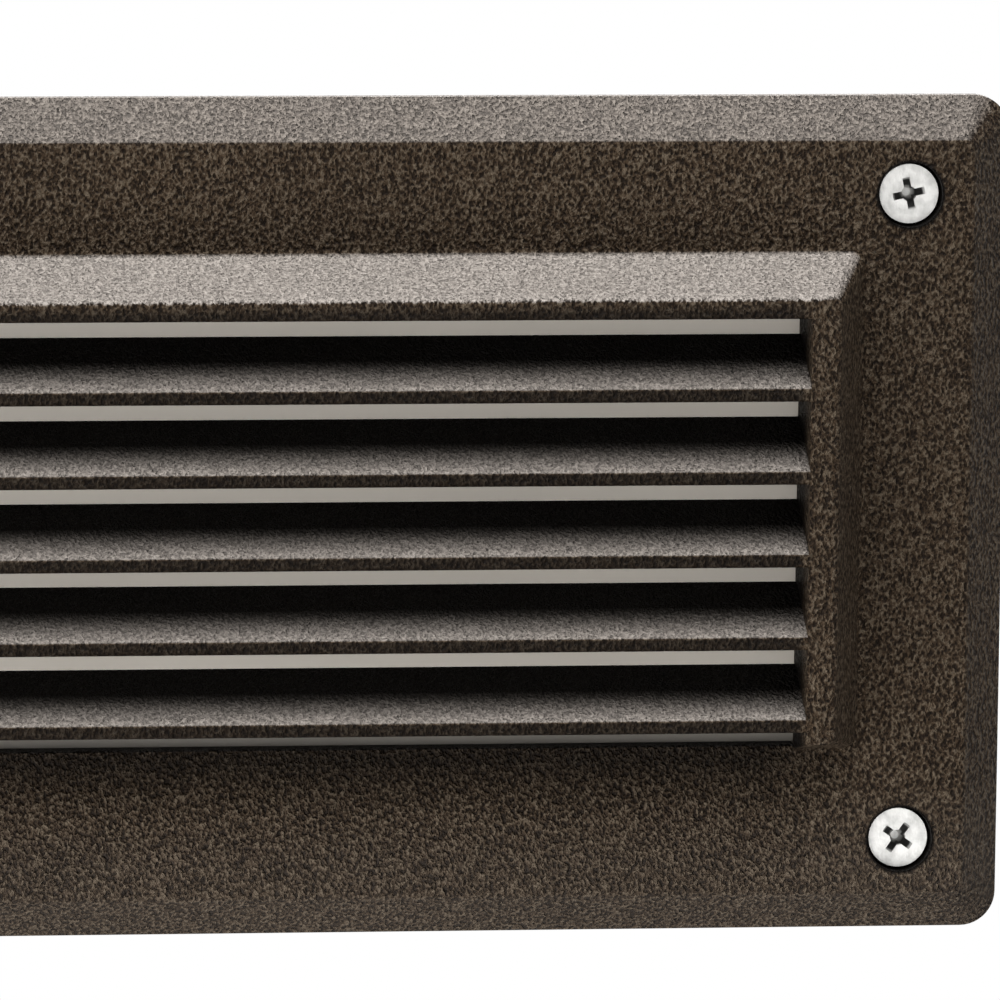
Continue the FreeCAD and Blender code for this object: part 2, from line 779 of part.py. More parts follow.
def build_housing():
    body = new_body("housing")
    drafted_block(body, "PartDesign::AdditiveWedge", "Box", "box_half_width", "box_half_height", "box_depth")
    soften(
        body,
        "BoxCorners",
        "PartDesign::Fillet",
        "box_corner",
        lambda e: e.BoundBox.YLength > size("box_depth") - 1,
    )
    back = size("box_depth")
    soften(
        body,
        "BoxBackEdge",
        "PartDesign::Chamfer",
        "box_back_edge",
        lambda e: near(e.BoundBox.YMin, back) and near(e.BoundBox.YMax, back),
    )
    inner_x, inner_z = "box_half_width - box_wall", "box_half_height - box_wall"
    drafted_block(body, "PartDesign::SubtractiveWedge", "BoxHollow", inner_x, inner_z, "box_depth - box_wall")
    posts = new_sketch(body, "CornerPosts", "XZ_Plane")
    bores = new_sketch(body, "PostBores", "XZ_Plane", "past")
    for sx in (-1, 1):
        for sz in (-1, 1):
            near_x, far_x = f"{sx} * (screw_half_x - post_size)", f"{sx} * (box_half_width - 2)"
            near_z, far_z = f"{sz} * (screw_half_z - post_size)", f"{sz} * (box_half_height - 2)"
            outline(posts, [(near_x, near_z), (far_x, near_z), (far_x, far_z), (near_x, far_z)])
            circle(bores, f"{sx} * screw_half_x", f"{sz} * screw_half_z", "post_bore")
    pad(body, "CornerPostPads", posts, "post_depth", back=True)
    pocket(body, "PostBoresCut", bores, "post_depth - post_bore_floor + past")
    stands = new_sketch(body, "TrayStands", "XZ_Plane", "-(tray_face + tray_sheet)")
    taps = new_sketch(body, "StandTaps", "XZ_Plane", "-(tray_face + tray_sheet) + past")
    for sx in (-1, 1):
        for sz in (-1, 1):
            circle(stands, f"{sx} * stand_x", f"{sz} * stand_z", "stand_radius")
            circle(taps, f"{sx} * stand_x", f"{sz} * stand_z", "small_bore")
    pad(body, "TrayStandPads", stands, "box_depth - box_wall - tray_face - tray_sheet + join", back=True)
    pocket(body, "StandTapsCut", taps, "stand_tap + past")
    fixings = new_sketch(body, "FixingHoles", "XZ_Plane", "-(box_depth - box_wall - 4)")
    for sx in (-1, 1):
        for sz in (-1, 1):
            circle(fixings, f"{sx} * fixing_x", f"{sz} * fixing_z", "fixing_bore")
    pocket(body, "FixingHolesCut", fixings, "box_wall + 8")
    # conduit hubs: one on each end, two on the back
    ends = new_sketch(body, "EndHubs", "YZ_Plane", "-(box_half_width + conduit_hub_out - 1)")
    circle(ends, "conduit_end_y", "0", "conduit_hub")
    pad(body, "LeftHub", ends, "conduit_hub_out + box_wall + conduit_hub_in")
    ends = new_sketch(body, "EndHubsRight", "YZ_Plane", "box_half_width - box_wall - 3")
    circle(ends, "conduit_end_y", "0", "conduit_hub")
    pad(body, "RightHub", ends, "conduit_hub_out + box_wall + conduit_hub_in")
    rear = new_sketch(body, "RearHubs", "XZ_Plane", "-(box_depth - box_wall - conduit_hub_in)")
    rear_bores = new_sketch(body, "RearBores", "XZ_Plane", "-(box_depth - box_wall - 6)")
    for side in ("-", ""):
        circle(rear, f"{side}conduit_back_x", "0", "conduit_hub")
        circle(rear_bores, f"{side}conduit_back_x", "0", "conduit_bore")
    pad(body, "RearHubPads", rear, "conduit_hub_out + box_wall + conduit_hub_in", back=True)
    pocket(body, "RearBoresCut", rear_bores, "30")
    through = new_sketch(body, "EndBores", "YZ_Plane")
    circle(through, "conduit_end_y", "0", "conduit_bore")
    pocket(body, "EndBoresCut", through, "3 * box_half_width", middle=True)
    return body


def build_conduit_plugs():
    """Threaded plugs with a screwdriver slot, in every entry but the open rear one."""
    slug = rod("PlugSlug", "y", "conduit_bore", "plug_long", "0", "0", "0")
    slot = block("PlugSlot", "-7", "7", "6.2", "9", "-1", "1")
    master = cut("PlugMaster", slug, [slot])
    doc.recompute()
    rear = number("box_depth + conduit_hub_out - plug_long")
    end = number("box_half_width + conduit_hub_out - plug_long") - 1
    y = size("conduit_end_y")
    places = [
        Placement(Vector(size("conduit_back_x"), rear, 0), Rotation(Vector(0, 1, 0), 25)),
        Placement(Vector(end, y, 0), Rotation(Vector(0, 0, 1), -90)),
        Placement(Vector(-end, y, 0), Rotation(Vector(0, 0, 1), 90)),
    ]
    group = doc.addObject("Part::Feature", "conduit_plugs")
    shapes = []
    for place in places:
        shape = master.Shape.copy()
        shape.Placement = place
        shapes.append(shape)
    group.Shape = Part.makeCompound(shapes)
    return group


# ---------------------------------------------------------------- lamp tray, board and driver

BOARD_BACK = "tray_face - pad_thick"
BOARD_FACE = f"{BOARD_BACK} - board_thick"
FLOOR = "box_depth - box_wall"


def build_tray():
    """A white sheet reflector, its long sides flared towards the lens."""
    body = new_body("reflector_tray")
    section = new_sketch(body, "TraySection", "YZ_Plane")
    back = "tray_face + tray_sheet"
    flare_y, flare_z = "tray_face - 18", "tray_half_height + tray_wing"
    outline(
        section,
        [
            ("tray_face", "-tray_half_height"),
            (flare_y, f"-({flare_z})"),
            (flare_y, f"-({flare_z}) - 1.4"),
            (back, "-tray_half_height - 0.7"),
            (back, "tray_half_height + 0.7"),
            (flare_y, f"{flare_z} + 1.4"),
            (flare_y, flare_z),
            ("tray_face", "tray_half_height"),
        ],
    )
    pad(body, "TraySheet", section, "2 * tray_half_width", middle=True)
    holes = new_sketch(body, "TrayHoles", "XZ_Plane", "-tray_face + 1")
    for sx in (-1, 1):
        for sz in (-1, 1):
            circle(holes, f"{sx} * stand_x", f"{sz} * stand_z", "small_bore + 0.2")
    circle(holes, "stand_x", "0", "4")
    pocket(body, "TrayHolesCut", holes, "tray_sheet + 2")
    return body


def build_leds():
    """White lamp packages along the board: a cream case round a yellow window."""
    case = block("LedCase", "-1.75", "1.75", f"{BOARD_FACE} - 0.8", BOARD_FACE, "-1.4", "1.4")
    window = rod("LedWindow", "y", "1.05", "0.3", "0", f"{BOARD_FACE} - 0.9", "0")
    master = cut("LedMaster", case, [window])
    count, pitch = int(size("led_count")), size("led_pitch")
    spots = [((i - (count - 1) / 2) * pitch, 0, 0, 0) for i in range(count)]
    return copies("leds", master, spots)


def build_board():
    plate = block(
        "BoardPlate",
        "-board_half_width",
        "board_half_width",
        BOARD_FACE,
        BOARD_BACK,
        "-board_half_height",
        "board_half_height",
    )
    holes = [
        rod(f"BoardHole{i}", "y", "small_bore + 0.1", "4", f"{sx} * (board_half_width - 4)", f"{BOARD_FACE} - 1", "0")
        for i, sx in enumerate((-1, 1))
    ]
    board = cut("led_board", plate, holes)
    return board


def build_thermal_pad():
    x, z = "board_half_width - 8", "board_half_height - 1"
    return block("thermal_pad", f"-({x})", x, BOARD_BACK, "tray_face", f"-({z})", z)


def build_board_screws():
    master = pan_screw("BoardScrewMaster", "2.7", "1.7", "small_bore - 0.05", "board_thick + pad_thick - 0.1")
    x, y = size("board_half_width") - 4, number(BOARD_FACE)
    return copies("board_screws", master, [(-x, y, 0, 15), (x, y, 0, 50)])


def build_tray_screws():
    master = pan_screw("TrayScrewMaster", "2.9", "1.9", "small_bore - 0.05", "tray_sheet + 7")
    spots = [
        (x, size("tray_face"), z, 20 * i) for i, (x, z) in enumerate(corners_of(size("stand_x"), size("stand_z")))
    ]
    return copies("tray_screws", master, spots)


def build_driver():
    """The potted lamp driver, lying on the housing's floor, with a drilled tab at each end."""
    body = new_body("driver")
    left, right = "driver_x - driver_length / 2", "driver_x + driver_length / 2"
    case = new_sketch(body, "DriverCase", "XZ_Plane", f"-({FLOOR} - driver_deep)")
    rectangle(case, left, right, "-driver_height / 2", "driver_height / 2")
    pad(body, "DriverBlock", case, "driver_deep", back=True)
    soften(body, "DriverUprights", "PartDesign::Fillet", "3", lambda e: runs_along(e, "y"))
    top = number(f"{FLOOR} - driver_deep")
    soften(
        body,
        "DriverTopEdge",
        "PartDesign::Fillet",
        "1.2",
        lambda e: near(e.BoundBox.YMin, top) and near(e.BoundBox.YMax, top),
    )
    tabs = new_sketch(body, "DriverTabs", "XZ_Plane", f"-({FLOOR} - tab_thick)")
    rectangle(tabs, f"{left} - tab_long", f"{right} + tab_long", "-tab_half_height", "tab_half_height")
    pad(body, "DriverTabPads", tabs, "tab_thick", back=True)
    holes = new_sketch(body, "DriverTabHoles", "XZ_Plane", f"-({FLOOR} - 6)")
    for x in (f"{left} - tab_hole", f"{right} + tab_hole"):
        circle(holes, x, "0", "small_bore + 0.1")
    pocket(body, "DriverTabHolesCut", holes, "8")
    return body


def build_driver_screws():
    master = pan_screw("DriverScrewMaster", "2.9", "1.9", "small_bore - 0.05", "2.3")
    reach, seat = number("driver_length / 2 + tab_hole"), number(f"{FLOOR} - tab_thick")
    spots = [(size("driver_x") + side * reach, seat, 0, 35 * side) for side in (-1, 1)]
    return copies("driver_screws", master, spots)


TERMINAL_LEFT, TERMINAL_STEP, TERMINAL_Z = -30.0, 12.0, 31.0


def build_terminals():
    """A three-way terminal block above the driver, with a well over each wire screw."""
    right = TERMINAL_LEFT + 3 * TERMINAL_STEP
    base = block("TerminalBase", f"{TERMINAL_LEFT}", f"{right}", f"{FLOOR} - 13", FLOOR, "24", "38")
    wells, screws = [], []
    for i in range(3):
        x = TERMINAL_LEFT + (i + 0.5) * TERMINAL_STEP
        wells.append(rod(f"TerminalWell{i}", "y", "2.6", "5", f"{x}", f"{FLOOR} - 13.5", f"{TERMINAL_Z + 2}"))
        wells.append(rod(f"TerminalMouth{i}", "z", "1.3", "6", f"{x}", f"{FLOOR} - 6", "22"))
        wells.append(rod(f"TerminalExit{i}", "z", "1.3", "6", f"{x}", f"{FLOOR} - 6", "34"))
        if i:
            edge = TERMINAL_LEFT + i * TERMINAL_STEP
            wells.append(
                block(f"TerminalGap{i}", f"{edge - 0.6}", f"{edge + 0.6}", f"{FLOOR} - 14", f"{FLOOR} - 6", "23", "39")
            )
        screws.append((x, number(f"{FLOOR} - 9.5"), TERMINAL_Z + 2, 40 * i))
    terminal = cut("terminal_block", base, wells)
    master = pan_screw("TerminalScrewMaster", "2.4", "1.6", "1.2", "1.0")
    # the screws' stems stand in the block's floor
    return terminal, copies("terminal_screws", master, screws)


GROUND_X, GROUND_Z = 34.0, 31.0


def build_ground_screw():
    """The green bonding screw on the housing's floor."""
    washer = rod("GroundWasher", "y", "5", "0.8", f"{GROUND_X}", f"{FLOOR} - 0.8", f"{GROUND_Z}")
    head = rod("GroundHead", "y", "4", "2.6", f"{GROUND_X}", f"{FLOOR} - 5", f"{GROUND_Z}")
    neck = rod("GroundNeck", "y", "2", "2", f"{GROUND_X}", f"{FLOOR} - 2.5", f"{GROUND_Z}")
    slot = block(
        "GroundSlot",
        f"{GROUND_X - 3.4}",
        f"{GROUND_X + 3.4}",
        f"{FLOOR} - 5.2",
        f"{FLOOR} - 3.8",
        f"{GROUND_Z - 0.5}",
        f"{GROUND_Z + 0.5}",
    )
    return cut("ground_screw", fuse("GroundBlank", [washer, head, neck]), [slot])


def build_leads():
    floor = number(FLOOR)
    middle = [TERMINAL_LEFT + (i + 0.5) * TERMINAL_STEP for i in range(3)]
    lane = floor - 6
    left = size("driver_x") - size("driver_length") / 2
    right = size("driver_x") + size("driver_length") / 2
    # driver to terminal block, along the driver's upper side
    supply = [
        [(left, floor - 16, 6), (left - 9, floor - 16, 6), (left - 9, lane, 20.4), (middle[0], lane, 20.4),
         (middle[0], lane, 27)],
        [(left, floor - 10, 8), (left - 4.5, floor - 10, 8), (left - 4.5, lane, 18.2), (middle[1], lane, 18.2),
         (middle[1], lane, 27)],
    ]
    seat = floor - 1.75
    ground = [
        [(middle[2], lane, 35), (middle[2], lane, 43), (GROUND_X, seat, 43), (GROUND_X, seat, GROUND_Z + 4.2)],
    ]
    hole_x, joint_x = size("stand_x"), size("board_half_width") - 13
    face = number(BOARD_FACE)
    lamp = [
        [(right, floor - 14, side * 5), (hole_x, floor - 14, side * 5), (hole_x, face - 5, side * 2.1),
         (joint_x, face - 5, side * 4), (joint_x, face, side * 4)]
        for side in (-1, 1)
    ]
    return [leads("supply_leads", supply), leads("ground_lead", ground), leads("lamp_leads", lamp)]


# ---------------------------------------------------------------- the whole fitting

faceplate = build_faceplate()
for side in (-1, 1):
    for level in (-1, 1):
        cone_cut(
            faceplate,
            f"HeadCone{'L' if side < 0 else 'R'}{'B' if level < 0 else 'T'}",
            side * size("screw_half_x"),
            level * size("screw_half_z"),
        )

terminal, terminal_screws = build_terminals()
nodes = [
    faceplate,
    build_lens(),
    build_lens_seal(),
    build_lens_clips(),
    build_clip_screws(),
    build_face_screws(),
    build_screw_keepers(),
    build_gasket(),
    build_housing(),
    build_conduit_plugs(),
    build_tray(),
    build_tray_screws(),
    build_thermal_pad(),
    build_board(),
    build_leds(),
    build_board_screws(),
    build_driver(),
    build_driver_screws(),
    terminal,
    terminal_screws,
    build_ground_screw(),
    *build_leads(),
]
doc.recompute()

for item in doc.Objects:
    if "Invalid" in item.State or "Error" in item.State:
        raise RuntimeError(f"{item.Name} didn't compute: {item.State}")
os.makedirs("parts", exist_ok=True)
for node in nodes:
    shape = node.Shape
    if shape.isNull() or not shape.isValid() or not shape.Solids:
        raise RuntimeError(f"{node.Label} has no valid solid")
    print(f"{node.Label}: {len(shape.Solids)} solids, {shape.Volume:.0f} mm3")
for node in nodes:
    node.Shape.exportStep(f"parts/{node.Label}.step")
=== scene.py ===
import math

import bpy
from mathutils import Matrix, Vector


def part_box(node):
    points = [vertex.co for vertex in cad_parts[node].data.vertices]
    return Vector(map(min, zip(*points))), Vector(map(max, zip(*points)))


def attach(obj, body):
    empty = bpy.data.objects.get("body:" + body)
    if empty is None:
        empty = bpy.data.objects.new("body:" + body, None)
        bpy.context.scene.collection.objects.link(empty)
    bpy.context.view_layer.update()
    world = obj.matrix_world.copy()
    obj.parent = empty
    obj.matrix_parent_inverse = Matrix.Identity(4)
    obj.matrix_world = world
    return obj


# The looks of a recessed louvred step light: its finishes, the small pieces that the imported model
# leaves plain, and a pale studio. Metres, X to the right, Y into the wall, Z up.

bl_info = {
    "name": "Louvred step light",
    "version": (1, 0, 0),
    "blender": (4, 5, 0),
    "location": "View3D > Sidebar > Step light",
    "description": "Powder coat, frosted pane, screws, lamp board and driver of a recessed step light",
    "category": "Object",
}

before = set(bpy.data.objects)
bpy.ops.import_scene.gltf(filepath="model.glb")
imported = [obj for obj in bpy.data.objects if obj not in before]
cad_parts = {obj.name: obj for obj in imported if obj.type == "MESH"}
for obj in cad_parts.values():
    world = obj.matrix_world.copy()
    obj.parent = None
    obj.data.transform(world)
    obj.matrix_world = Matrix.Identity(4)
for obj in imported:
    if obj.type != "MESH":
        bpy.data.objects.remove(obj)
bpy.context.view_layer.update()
MM = 0.001

# How far forward the hood's lip, the pane and the screws' heads reach
HOOD_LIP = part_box("faceplate")[0].y
PANE_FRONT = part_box("lens")[0].y
SCREW_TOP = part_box("face_screws")[0].y

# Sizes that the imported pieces' boxes don't give: the hood, the opening behind its lip, the screws'
# heads, the lamp packages and the driver's tabs
HOOD_HALF = 97.1 * MM
HOOD_TOP = 36.7 * MM
HOOD_BOTTOM = -31.6 * MM
HOOD_SLOPE = 5.2 * MM
HOOD_END_SLOPE = 2.2 * MM
OPENING_HALF = 88.0 * MM
OPENING_TOP = 31.5 * MM
OPENING_BOTTOM = -31.0 * MM
SCREW_HEAD = 4.05 * MM
LAMPS = 12
LAMP_LONG = 3.5 * MM
DRIVER_TAB = 7.0 * MM

# Painted light, paler towards the plate's lower edge, starts at the upper of these heights and is fullest
# below the lower
LOWER_LIGHT_TOP = -36.0 * MM
LOWER_LIGHT_FULL = -47.0 * MM

# Some sockets share a name, so the colours of a Mix node and the shaders of a Mix Shader go by number
COLOUR_A, COLOUR_B, COLOUR_OUT = 6, 7, 2
SHADER_A, SHADER_B = 1, 2

SMOOTH_ANGLE = math.radians(40)


def srgb(red, green, blue):
    """A colour read as 0 to 255 on a screen, as Blender's linear colour."""
    linear = []
    for level in (red, green, blue):
        part = level / 255
        linear.append(part / 12.92 if part <= 0.04045 else ((part + 0.055) / 1.055) ** 2.4)
    return tuple(linear)


def colour(name, text, red, green, blue):
    return bpy.props.FloatVectorProperty(
        name=name, description=text, subtype="COLOR", size=3, min=0, max=1, default=srgb(red, green, blue)
    )


def length(name, text, metres):
    return bpy.props.FloatProperty(
        name=name, description=text, unit="LENGTH", default=metres, min=0, precision=5
    )


def angle(name, text, degrees):
    return bpy.props.FloatProperty(
        name=name, description=text, unit="ROTATION", default=math.radians(degrees)
    )


def amount(name, text, value, highest=10.0):
    return bpy.props.FloatProperty(name=name, description=text, default=value, min=0, max=highest)


# ---------------------------------------------------------------- what a user may change


class StepLightCoats(bpy.types.PropertyGroup):
    """Colours and grain of the cast, painted and rubber pieces."""

    bronze: colour("Bronze", "Dark bronze of the faceplate's powder coat", 59, 47, 35)
    # The crest and pit colours give the grain its tone, and also a painted highlight on the crests and
    # painted shade in the pits
    bronze_crest: colour("Bronze crest", "Bronze on the coat's raised grains", 90, 79, 66)
    bronze_pit: colour("Bronze pit", "Bronze between the grains", 24, 17, 11)
    grain: length("Grain", "Spacing of the powder coat's grains", 0.0005)
    grain_depth: length("Grain depth", "Bump distance of the powder coat's grains", 0.00154)
    fine_depth: length("Fine grain depth", "Bump distance of the finest grains", 0.00028)
    grain_gloss: amount("Coat roughness", "Roughness of the powder coat", 0.5, 1.0)
    sheen: amount("Coat reflection", "Specular level of the powder coat", 0.06, 1.0)
    # The dust colour paints pale dust and painted top light on the faces that look up, and painted light
    # along the plate's lower edge
    dust: colour("Dust", "Pale dust on the faces that look up", 176, 168, 161)
    dust_and_light_cover: amount("Dust cover", "How much of a level face the dust hides", 0.98, 1.0)
    # Painted light: how much paler the plate is painted along its lower edge
    splash: amount("Splashed dust", "How much dust sticks along the plate's lower edge", 0.03, 1.0)
    # Near black painted shade, used deep between the louvres, below the hood, on the blades' lips and round
    # the screws
    grime: colour("Grime", "Near black of grime and of the thinnest coat", 5.3, 2.6, 1.0)
    # Painted shade: how near black the coat is painted deep between the louvres
    louvre_shade: amount("Thin coat", "How dark the thin coat is deep between the louvres", 1.0, 1.0)
    under_dark: amount("Shade below the hood", "How dark the plate is just below the hood", 0.8, 1.0)
    lip_dark: amount("Shade of the lips", "How dark the blades' lips are", 0.75, 1.0)
    housing: colour("Housing grey", "Grey of the housing's paint", 118, 119, 120)
    enamel: colour("Enamel", "White of the reflector tray", 204, 204, 200)
    sponge: colour("Sponge", "Black of the gasket", 38, 38, 39)
    silicone: colour("Silicone", "Grey of the pane's seal", 176, 176, 172)


class StepLightClear(bpy.types.PropertyGroup):
    """The frosted pane."""

    pane: colour("Pane", "Tint of the frosted pane", 187, 180, 170)
    frost: amount("Frost", "Roughness of the pane's face", 0.42, 1.0)
    clearness: amount("Clearness", "Share of the light that passes through the pane", 0.08, 1.0)


class StepLightMetals(bpy.types.PropertyGroup):
    """Bare metals."""

    stainless: colour("Stainless", "The face screws", 206, 205, 202)
    recess: colour("Recess", "The shade inside a screw's driving recess", 8, 7, 6)
    thread_pitch: length("Thread pitch", "Pitch of the face screws' thread", 0.00079)
    thread_root: length("Thread root", "From a face screw's axis to the foot of its thread", 0.00204)
    thread_crest: length("Thread crest", "From a face screw's axis to the crest of its thread", 0.00215)
    zinc: colour("Zinc", "Inner screws", 205, 204, 198)
    spring: colour("Spring steel", "The pane's clips", 180, 181, 182)
    plug: colour("Plug metal", "The conduit plugs", 176, 176, 174)
    bonding: colour("Bonding screw", "Green of the ground screw", 46, 128, 66)
    bonding_worn: colour("Worn green", "Darker patches of the ground screw", 30, 92, 46)


class StepLightElectric(bpy.types.PropertyGroup):
    """The lamp board, the driver, the wiring and the nylon."""

    mask: colour("Solder mask", "White lacquer of the lamp board", 200, 203, 199)
    package: colour("Lamp package", "Cream case of a lamp package", 226, 222, 206)
    phosphor: colour("Phosphor", "Yellow window of a lamp package", 236, 196, 70)
    heat_pad: colour("Heat pad", "Grey of the pad under the lamp board", 150, 158, 168)
    driver: colour("Driver", "Black case of the driver", 42, 42, 44)
    collar: colour("Collars", "Black rubber where leads leave the driver", 28, 28, 29)
    block: colour("Terminal block", "Grey plastic of the terminal block", 205, 204, 196)
    nylon: colour("Nylon", "The face screws' keepers", 216, 213, 202)
    solder: colour("Solder", "Solder joints", 196, 198, 200)
    supply: colour("Supply leads", "Insulation of the supply leads", 40, 40, 42)
    ground: colour("Ground lead", "Insulation of the ground lead", 38, 120, 60)
    lamp: colour("Lamp leads", "Insulation of the lamp leads", 176, 34, 28)
    pad_long: length("Pad length", "Tinned pad, along the lamp board", 0.0015)
    pad_high: length("Pad height", "Tinned pad, up the lamp board", 0.0022)
    pad_thick: length("Pad thickness", "How far a tinned pad stands off the lamp board", 0.00006)
    bead_radius: length("Solder bead", "Radius of a bead of solder along the lamp board", 0.0019)
    collar_radius: length("Collar radius", "Radius of a collar where it meets the driver", 0.0019)


class StepLightStudio(bpy.types.PropertyGroup):
    """The camera and the light."""

    distance: length("Distance", "From the camera to the point it looks at", 2.0)
    yaw: angle("Yaw", "Turn of the view to the right", 8.7)
    pitch: angle("Pitch", "Tilt of the view downwards", 7.91)
    roll: angle("Roll", "Turn of the picture about its middle", 0.79)
    aim_x: length("Aim X", "The point looked at, across the plate", 0.0485)
    aim_z: length("Aim Z", "The point looked at, up the plate", 0.00181)
    picture: length("Picture width", "Width of the picture where it is aimed", 0.13583)
    overhead: amount("Overhead", "Power of the soft light above", 15.6, 200)
    front: amount("Front", "Power of the soft light in front, on the left", 10.8, 100)
    low: amount("Low", "Power of the soft light low in front", 2.5, 100)
    rear: amount("Rear", "Power of the soft light behind", 14.0, 100)
    room: amount("Room", "Brightness of the room around", 0.1, 2)
    floor_drop: length("Floor drop", "From the fitting's middle down to the floor", 0.4)


GROUPS = {
    "step_coats": StepLightCoats,
    "step_clear": StepLightClear,
    "step_metals": StepLightMetals,
    "step_electric": StepLightElectric,
    "step_studio": StepLightStudio,
}


# ---------------------------------------------------------------- materials


class Finish:
    """A procedural material: a principled surface whose grain, colour and bump are added in turn."""

    def __init__(self, name, base, roughness, metallic=0.0):
        self.material = bpy.data.materials.new(name)
        self.material.use_nodes = True
        tree = self.material.node_tree
        self.nodes, self.links = tree.nodes, tree.links
        self.surface = self.nodes["Principled BSDF"]
        self.surface.inputs["Base Color"].default_value = (*base, 1)
        self.surface.inputs["Roughness"].default_value = roughness
        self.surface.inputs["Metallic"].default_value = metallic
        self.place = self.nodes.new("ShaderNodeTexCoord").outputs["Object"]
        self.normal = None

    def stretched(self, along, turned=(0.0, 0.0, 0.0)):
        """The object coordinates, turned, and stretched by a factor on each axis."""
        mapping = self.nodes.new("ShaderNodeMapping")
        mapping.inputs["Rotation"].default_value = turned
        mapping.inputs["Scale"].default_value = along
        self.links.new(self.place, mapping.inputs["Vector"])
        return mapping.outputs["Vector"]

    def noise(self, spacing, detail=2.0, distortion=0.0, where=None, roughness=0.5):
        """Cloudy noise whose grains lie about a spacing apart."""
        texture = self.nodes.new("ShaderNodeTexNoise")
        texture.inputs["Scale"].default_value = 1 / spacing
        texture.inputs["Detail"].default_value = detail
        texture.inputs["Roughness"].default_value = roughness
        texture.inputs["Distortion"].default_value = distortion
        self.links.new(where or self.place, texture.inputs["Vector"])
        return texture.outputs["Fac"]

    def cells(self, spacing):
        """Rounded cells: the distance from each one's middle."""
        texture = self.nodes.new("ShaderNodeTexVoronoi")
        texture.feature = "SMOOTH_F1"
        texture.inputs["Scale"].default_value = 1 / spacing
        self.links.new(self.place, texture.inputs["Vector"])
        return texture.outputs["Distance"]

    def span(self, value, low, high, to_low=0.0, to_high=1.0):
        """A value between two levels, spread over another span."""
        spread = self.nodes.new("ShaderNodeMapRange")
        levels = {"From Min": low, "From Max": high, "To Min": to_low, "To Max": to_high}
        for socket, level in levels.items():
            spread.inputs[socket].default_value = level
        self.links.new(value, spread.inputs["Value"])
        return spread.outputs["Result"]

    def fade(self, place, edge, clear, full):
        """0 where a place is `clear` mm past an edge along its axis, and 1 where it is `full` mm past."""
        return self.span(place, edge + clear * MM, edge + full * MM)

    def blend(self, share, first, second):
        """A colour between two, each a colour or an output."""
        mix = self.nodes.new("ShaderNodeMix")
        mix.data_type = "RGBA"
        self.links.new(share, mix.inputs["Factor"])
        for socket, shade in ((COLOUR_A, first), (COLOUR_B, second)):
            if isinstance(shade, bpy.types.NodeSocket):
                self.links.new(shade, mix.inputs[socket])
            else:
                mix.inputs[socket].default_value = (*shade, 1)
        return mix.outputs[COLOUR_OUT]

    def paint(self, output):
        self.links.new(output, self.surface.inputs["Base Color"])

    def gloss(self, output):
        self.links.new(output, self.surface.inputs["Roughness"])

    def metal(self, output):
        self.links.new(output, self.surface.inputs["Metallic"])

    def bump(self, height, depth, strength=1.0):
        """Raises the surface by a height from 0 to 1, on top of the bumps that it has."""
        node = self.nodes.new("ShaderNodeBump")
        node.inputs["Strength"].default_value = strength
        node.inputs["Distance"].default_value = depth
        self.links.new(height, node.inputs["Height"])
        if self.normal is not None:
            self.links.new(self.normal, node.inputs["Normal"])
        self.normal = node.outputs["Normal"]
        self.links.new(self.normal, self.surface.inputs["Normal"])

    def axis(self, letter):
        """The place along an axis."""
        parts = self.nodes.new("ShaderNodeSeparateXYZ")
        self.links.new(self.place, parts.inputs["Vector"])
        return parts.outputs[letter]

    def across(self):
        """The distance to either side of the middle."""
        return self.math("ABSOLUTE", self.axis("X"))

    def facing(self, letter):
        """How much the surface looks along an axis, from -1 to 1."""
        shape = self.nodes.new("ShaderNodeNewGeometry")
        parts = self.nodes.new("ShaderNodeSeparateXYZ")
        self.links.new(shape.outputs["Normal"], parts.inputs["Vector"])
        return parts.outputs[letter]

    def math(self, operation, *values, clamp=False):
        """Chains values, each an output or a number, by one operation. A lone value is given a second
        one of 0, which the operations on one value don't use."""
        result = values[0]
        for value in values[1:] or (0.0,):
            node = self.nodes.new("ShaderNodeMath")
            node.operation = operation
            node.use_clamp = clamp
            for socket, term in zip(node.inputs, (result, value)):
                if isinstance(term, bpy.types.NodeSocket):
                    self.links.new(term, socket)
                else:
                    socket.default_value = term
            result = node.outputs[0]
        return result


def dimmed(shade, factor):
    """A colour with its light cut to a share."""
    return tuple(level * factor for level in shade)


def screw_places():
    """The X and Z of each face screw's axis: upper left, upper right, lower left, lower right."""
    low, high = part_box("face_screws")
    sides = (low.x + SCREW_HEAD, high.x - SCREW_HEAD)
    heights = (high.z - SCREW_HEAD, low.z + SCREW_HEAD)
    return [(x, z) for z in heights for x in sides]


def inside_louvres(coat):
    """From 0 at the hood's lip to 1 deep in the opening, and 0 everywhere outside it."""
    return coat.math(
        "MULTIPLY",
        coat.fade(coat.across(), OPENING_HALF, clear=0.4, full=0.2),
        coat.fade(coat.axis("Y"), HOOD_LIP, clear=0.4, full=5.4),
        coat.fade(coat.axis("Z"), OPENING_TOP, clear=0.5, full=-0.3),
        coat.fade(coat.axis("Z"), OPENING_BOTTOM, clear=-0.4, full=-0.2),
    )


def louvre_lips(coat):
    """1 on the blades' lips and lower faces, which get painted shade, and 0 outside the opening."""
    looks_up, looks_out = 0.45, 0.15
    return coat.math(
        "MULTIPLY",
        coat.fade(coat.across(), OPENING_HALF, clear=-0.4, full=-1.4),
        coat.fade(coat.axis("Z"), OPENING_TOP, clear=-0.5, full=-1.9),
        coat.fade(coat.axis("Z"), OPENING_BOTTOM, clear=-3.0, full=-2.0),
        coat.fade(coat.axis("Y"), PANE_FRONT, clear=0.7, full=-0.3),
        coat.span(coat.facing("Z"), looks_up, looks_out),
    )


def hood_edge(coat):
    """1 along the front edge of the hood's slope, fading out just behind and just below it."""
    front_half = HOOD_HALF - HOOD_END_SLOPE
    front_top = HOOD_TOP - HOOD_SLOPE
    return coat.math(
        "MULTIPLY",
        coat.fade(coat.across(), front_half, clear=-3.9, full=-5.9),
        coat.fade(coat.axis("Y"), HOOD_LIP, clear=1.2, full=0.6),
        coat.fade(coat.axis("Z"), front_top, clear=-1.1, full=0.9),
    )


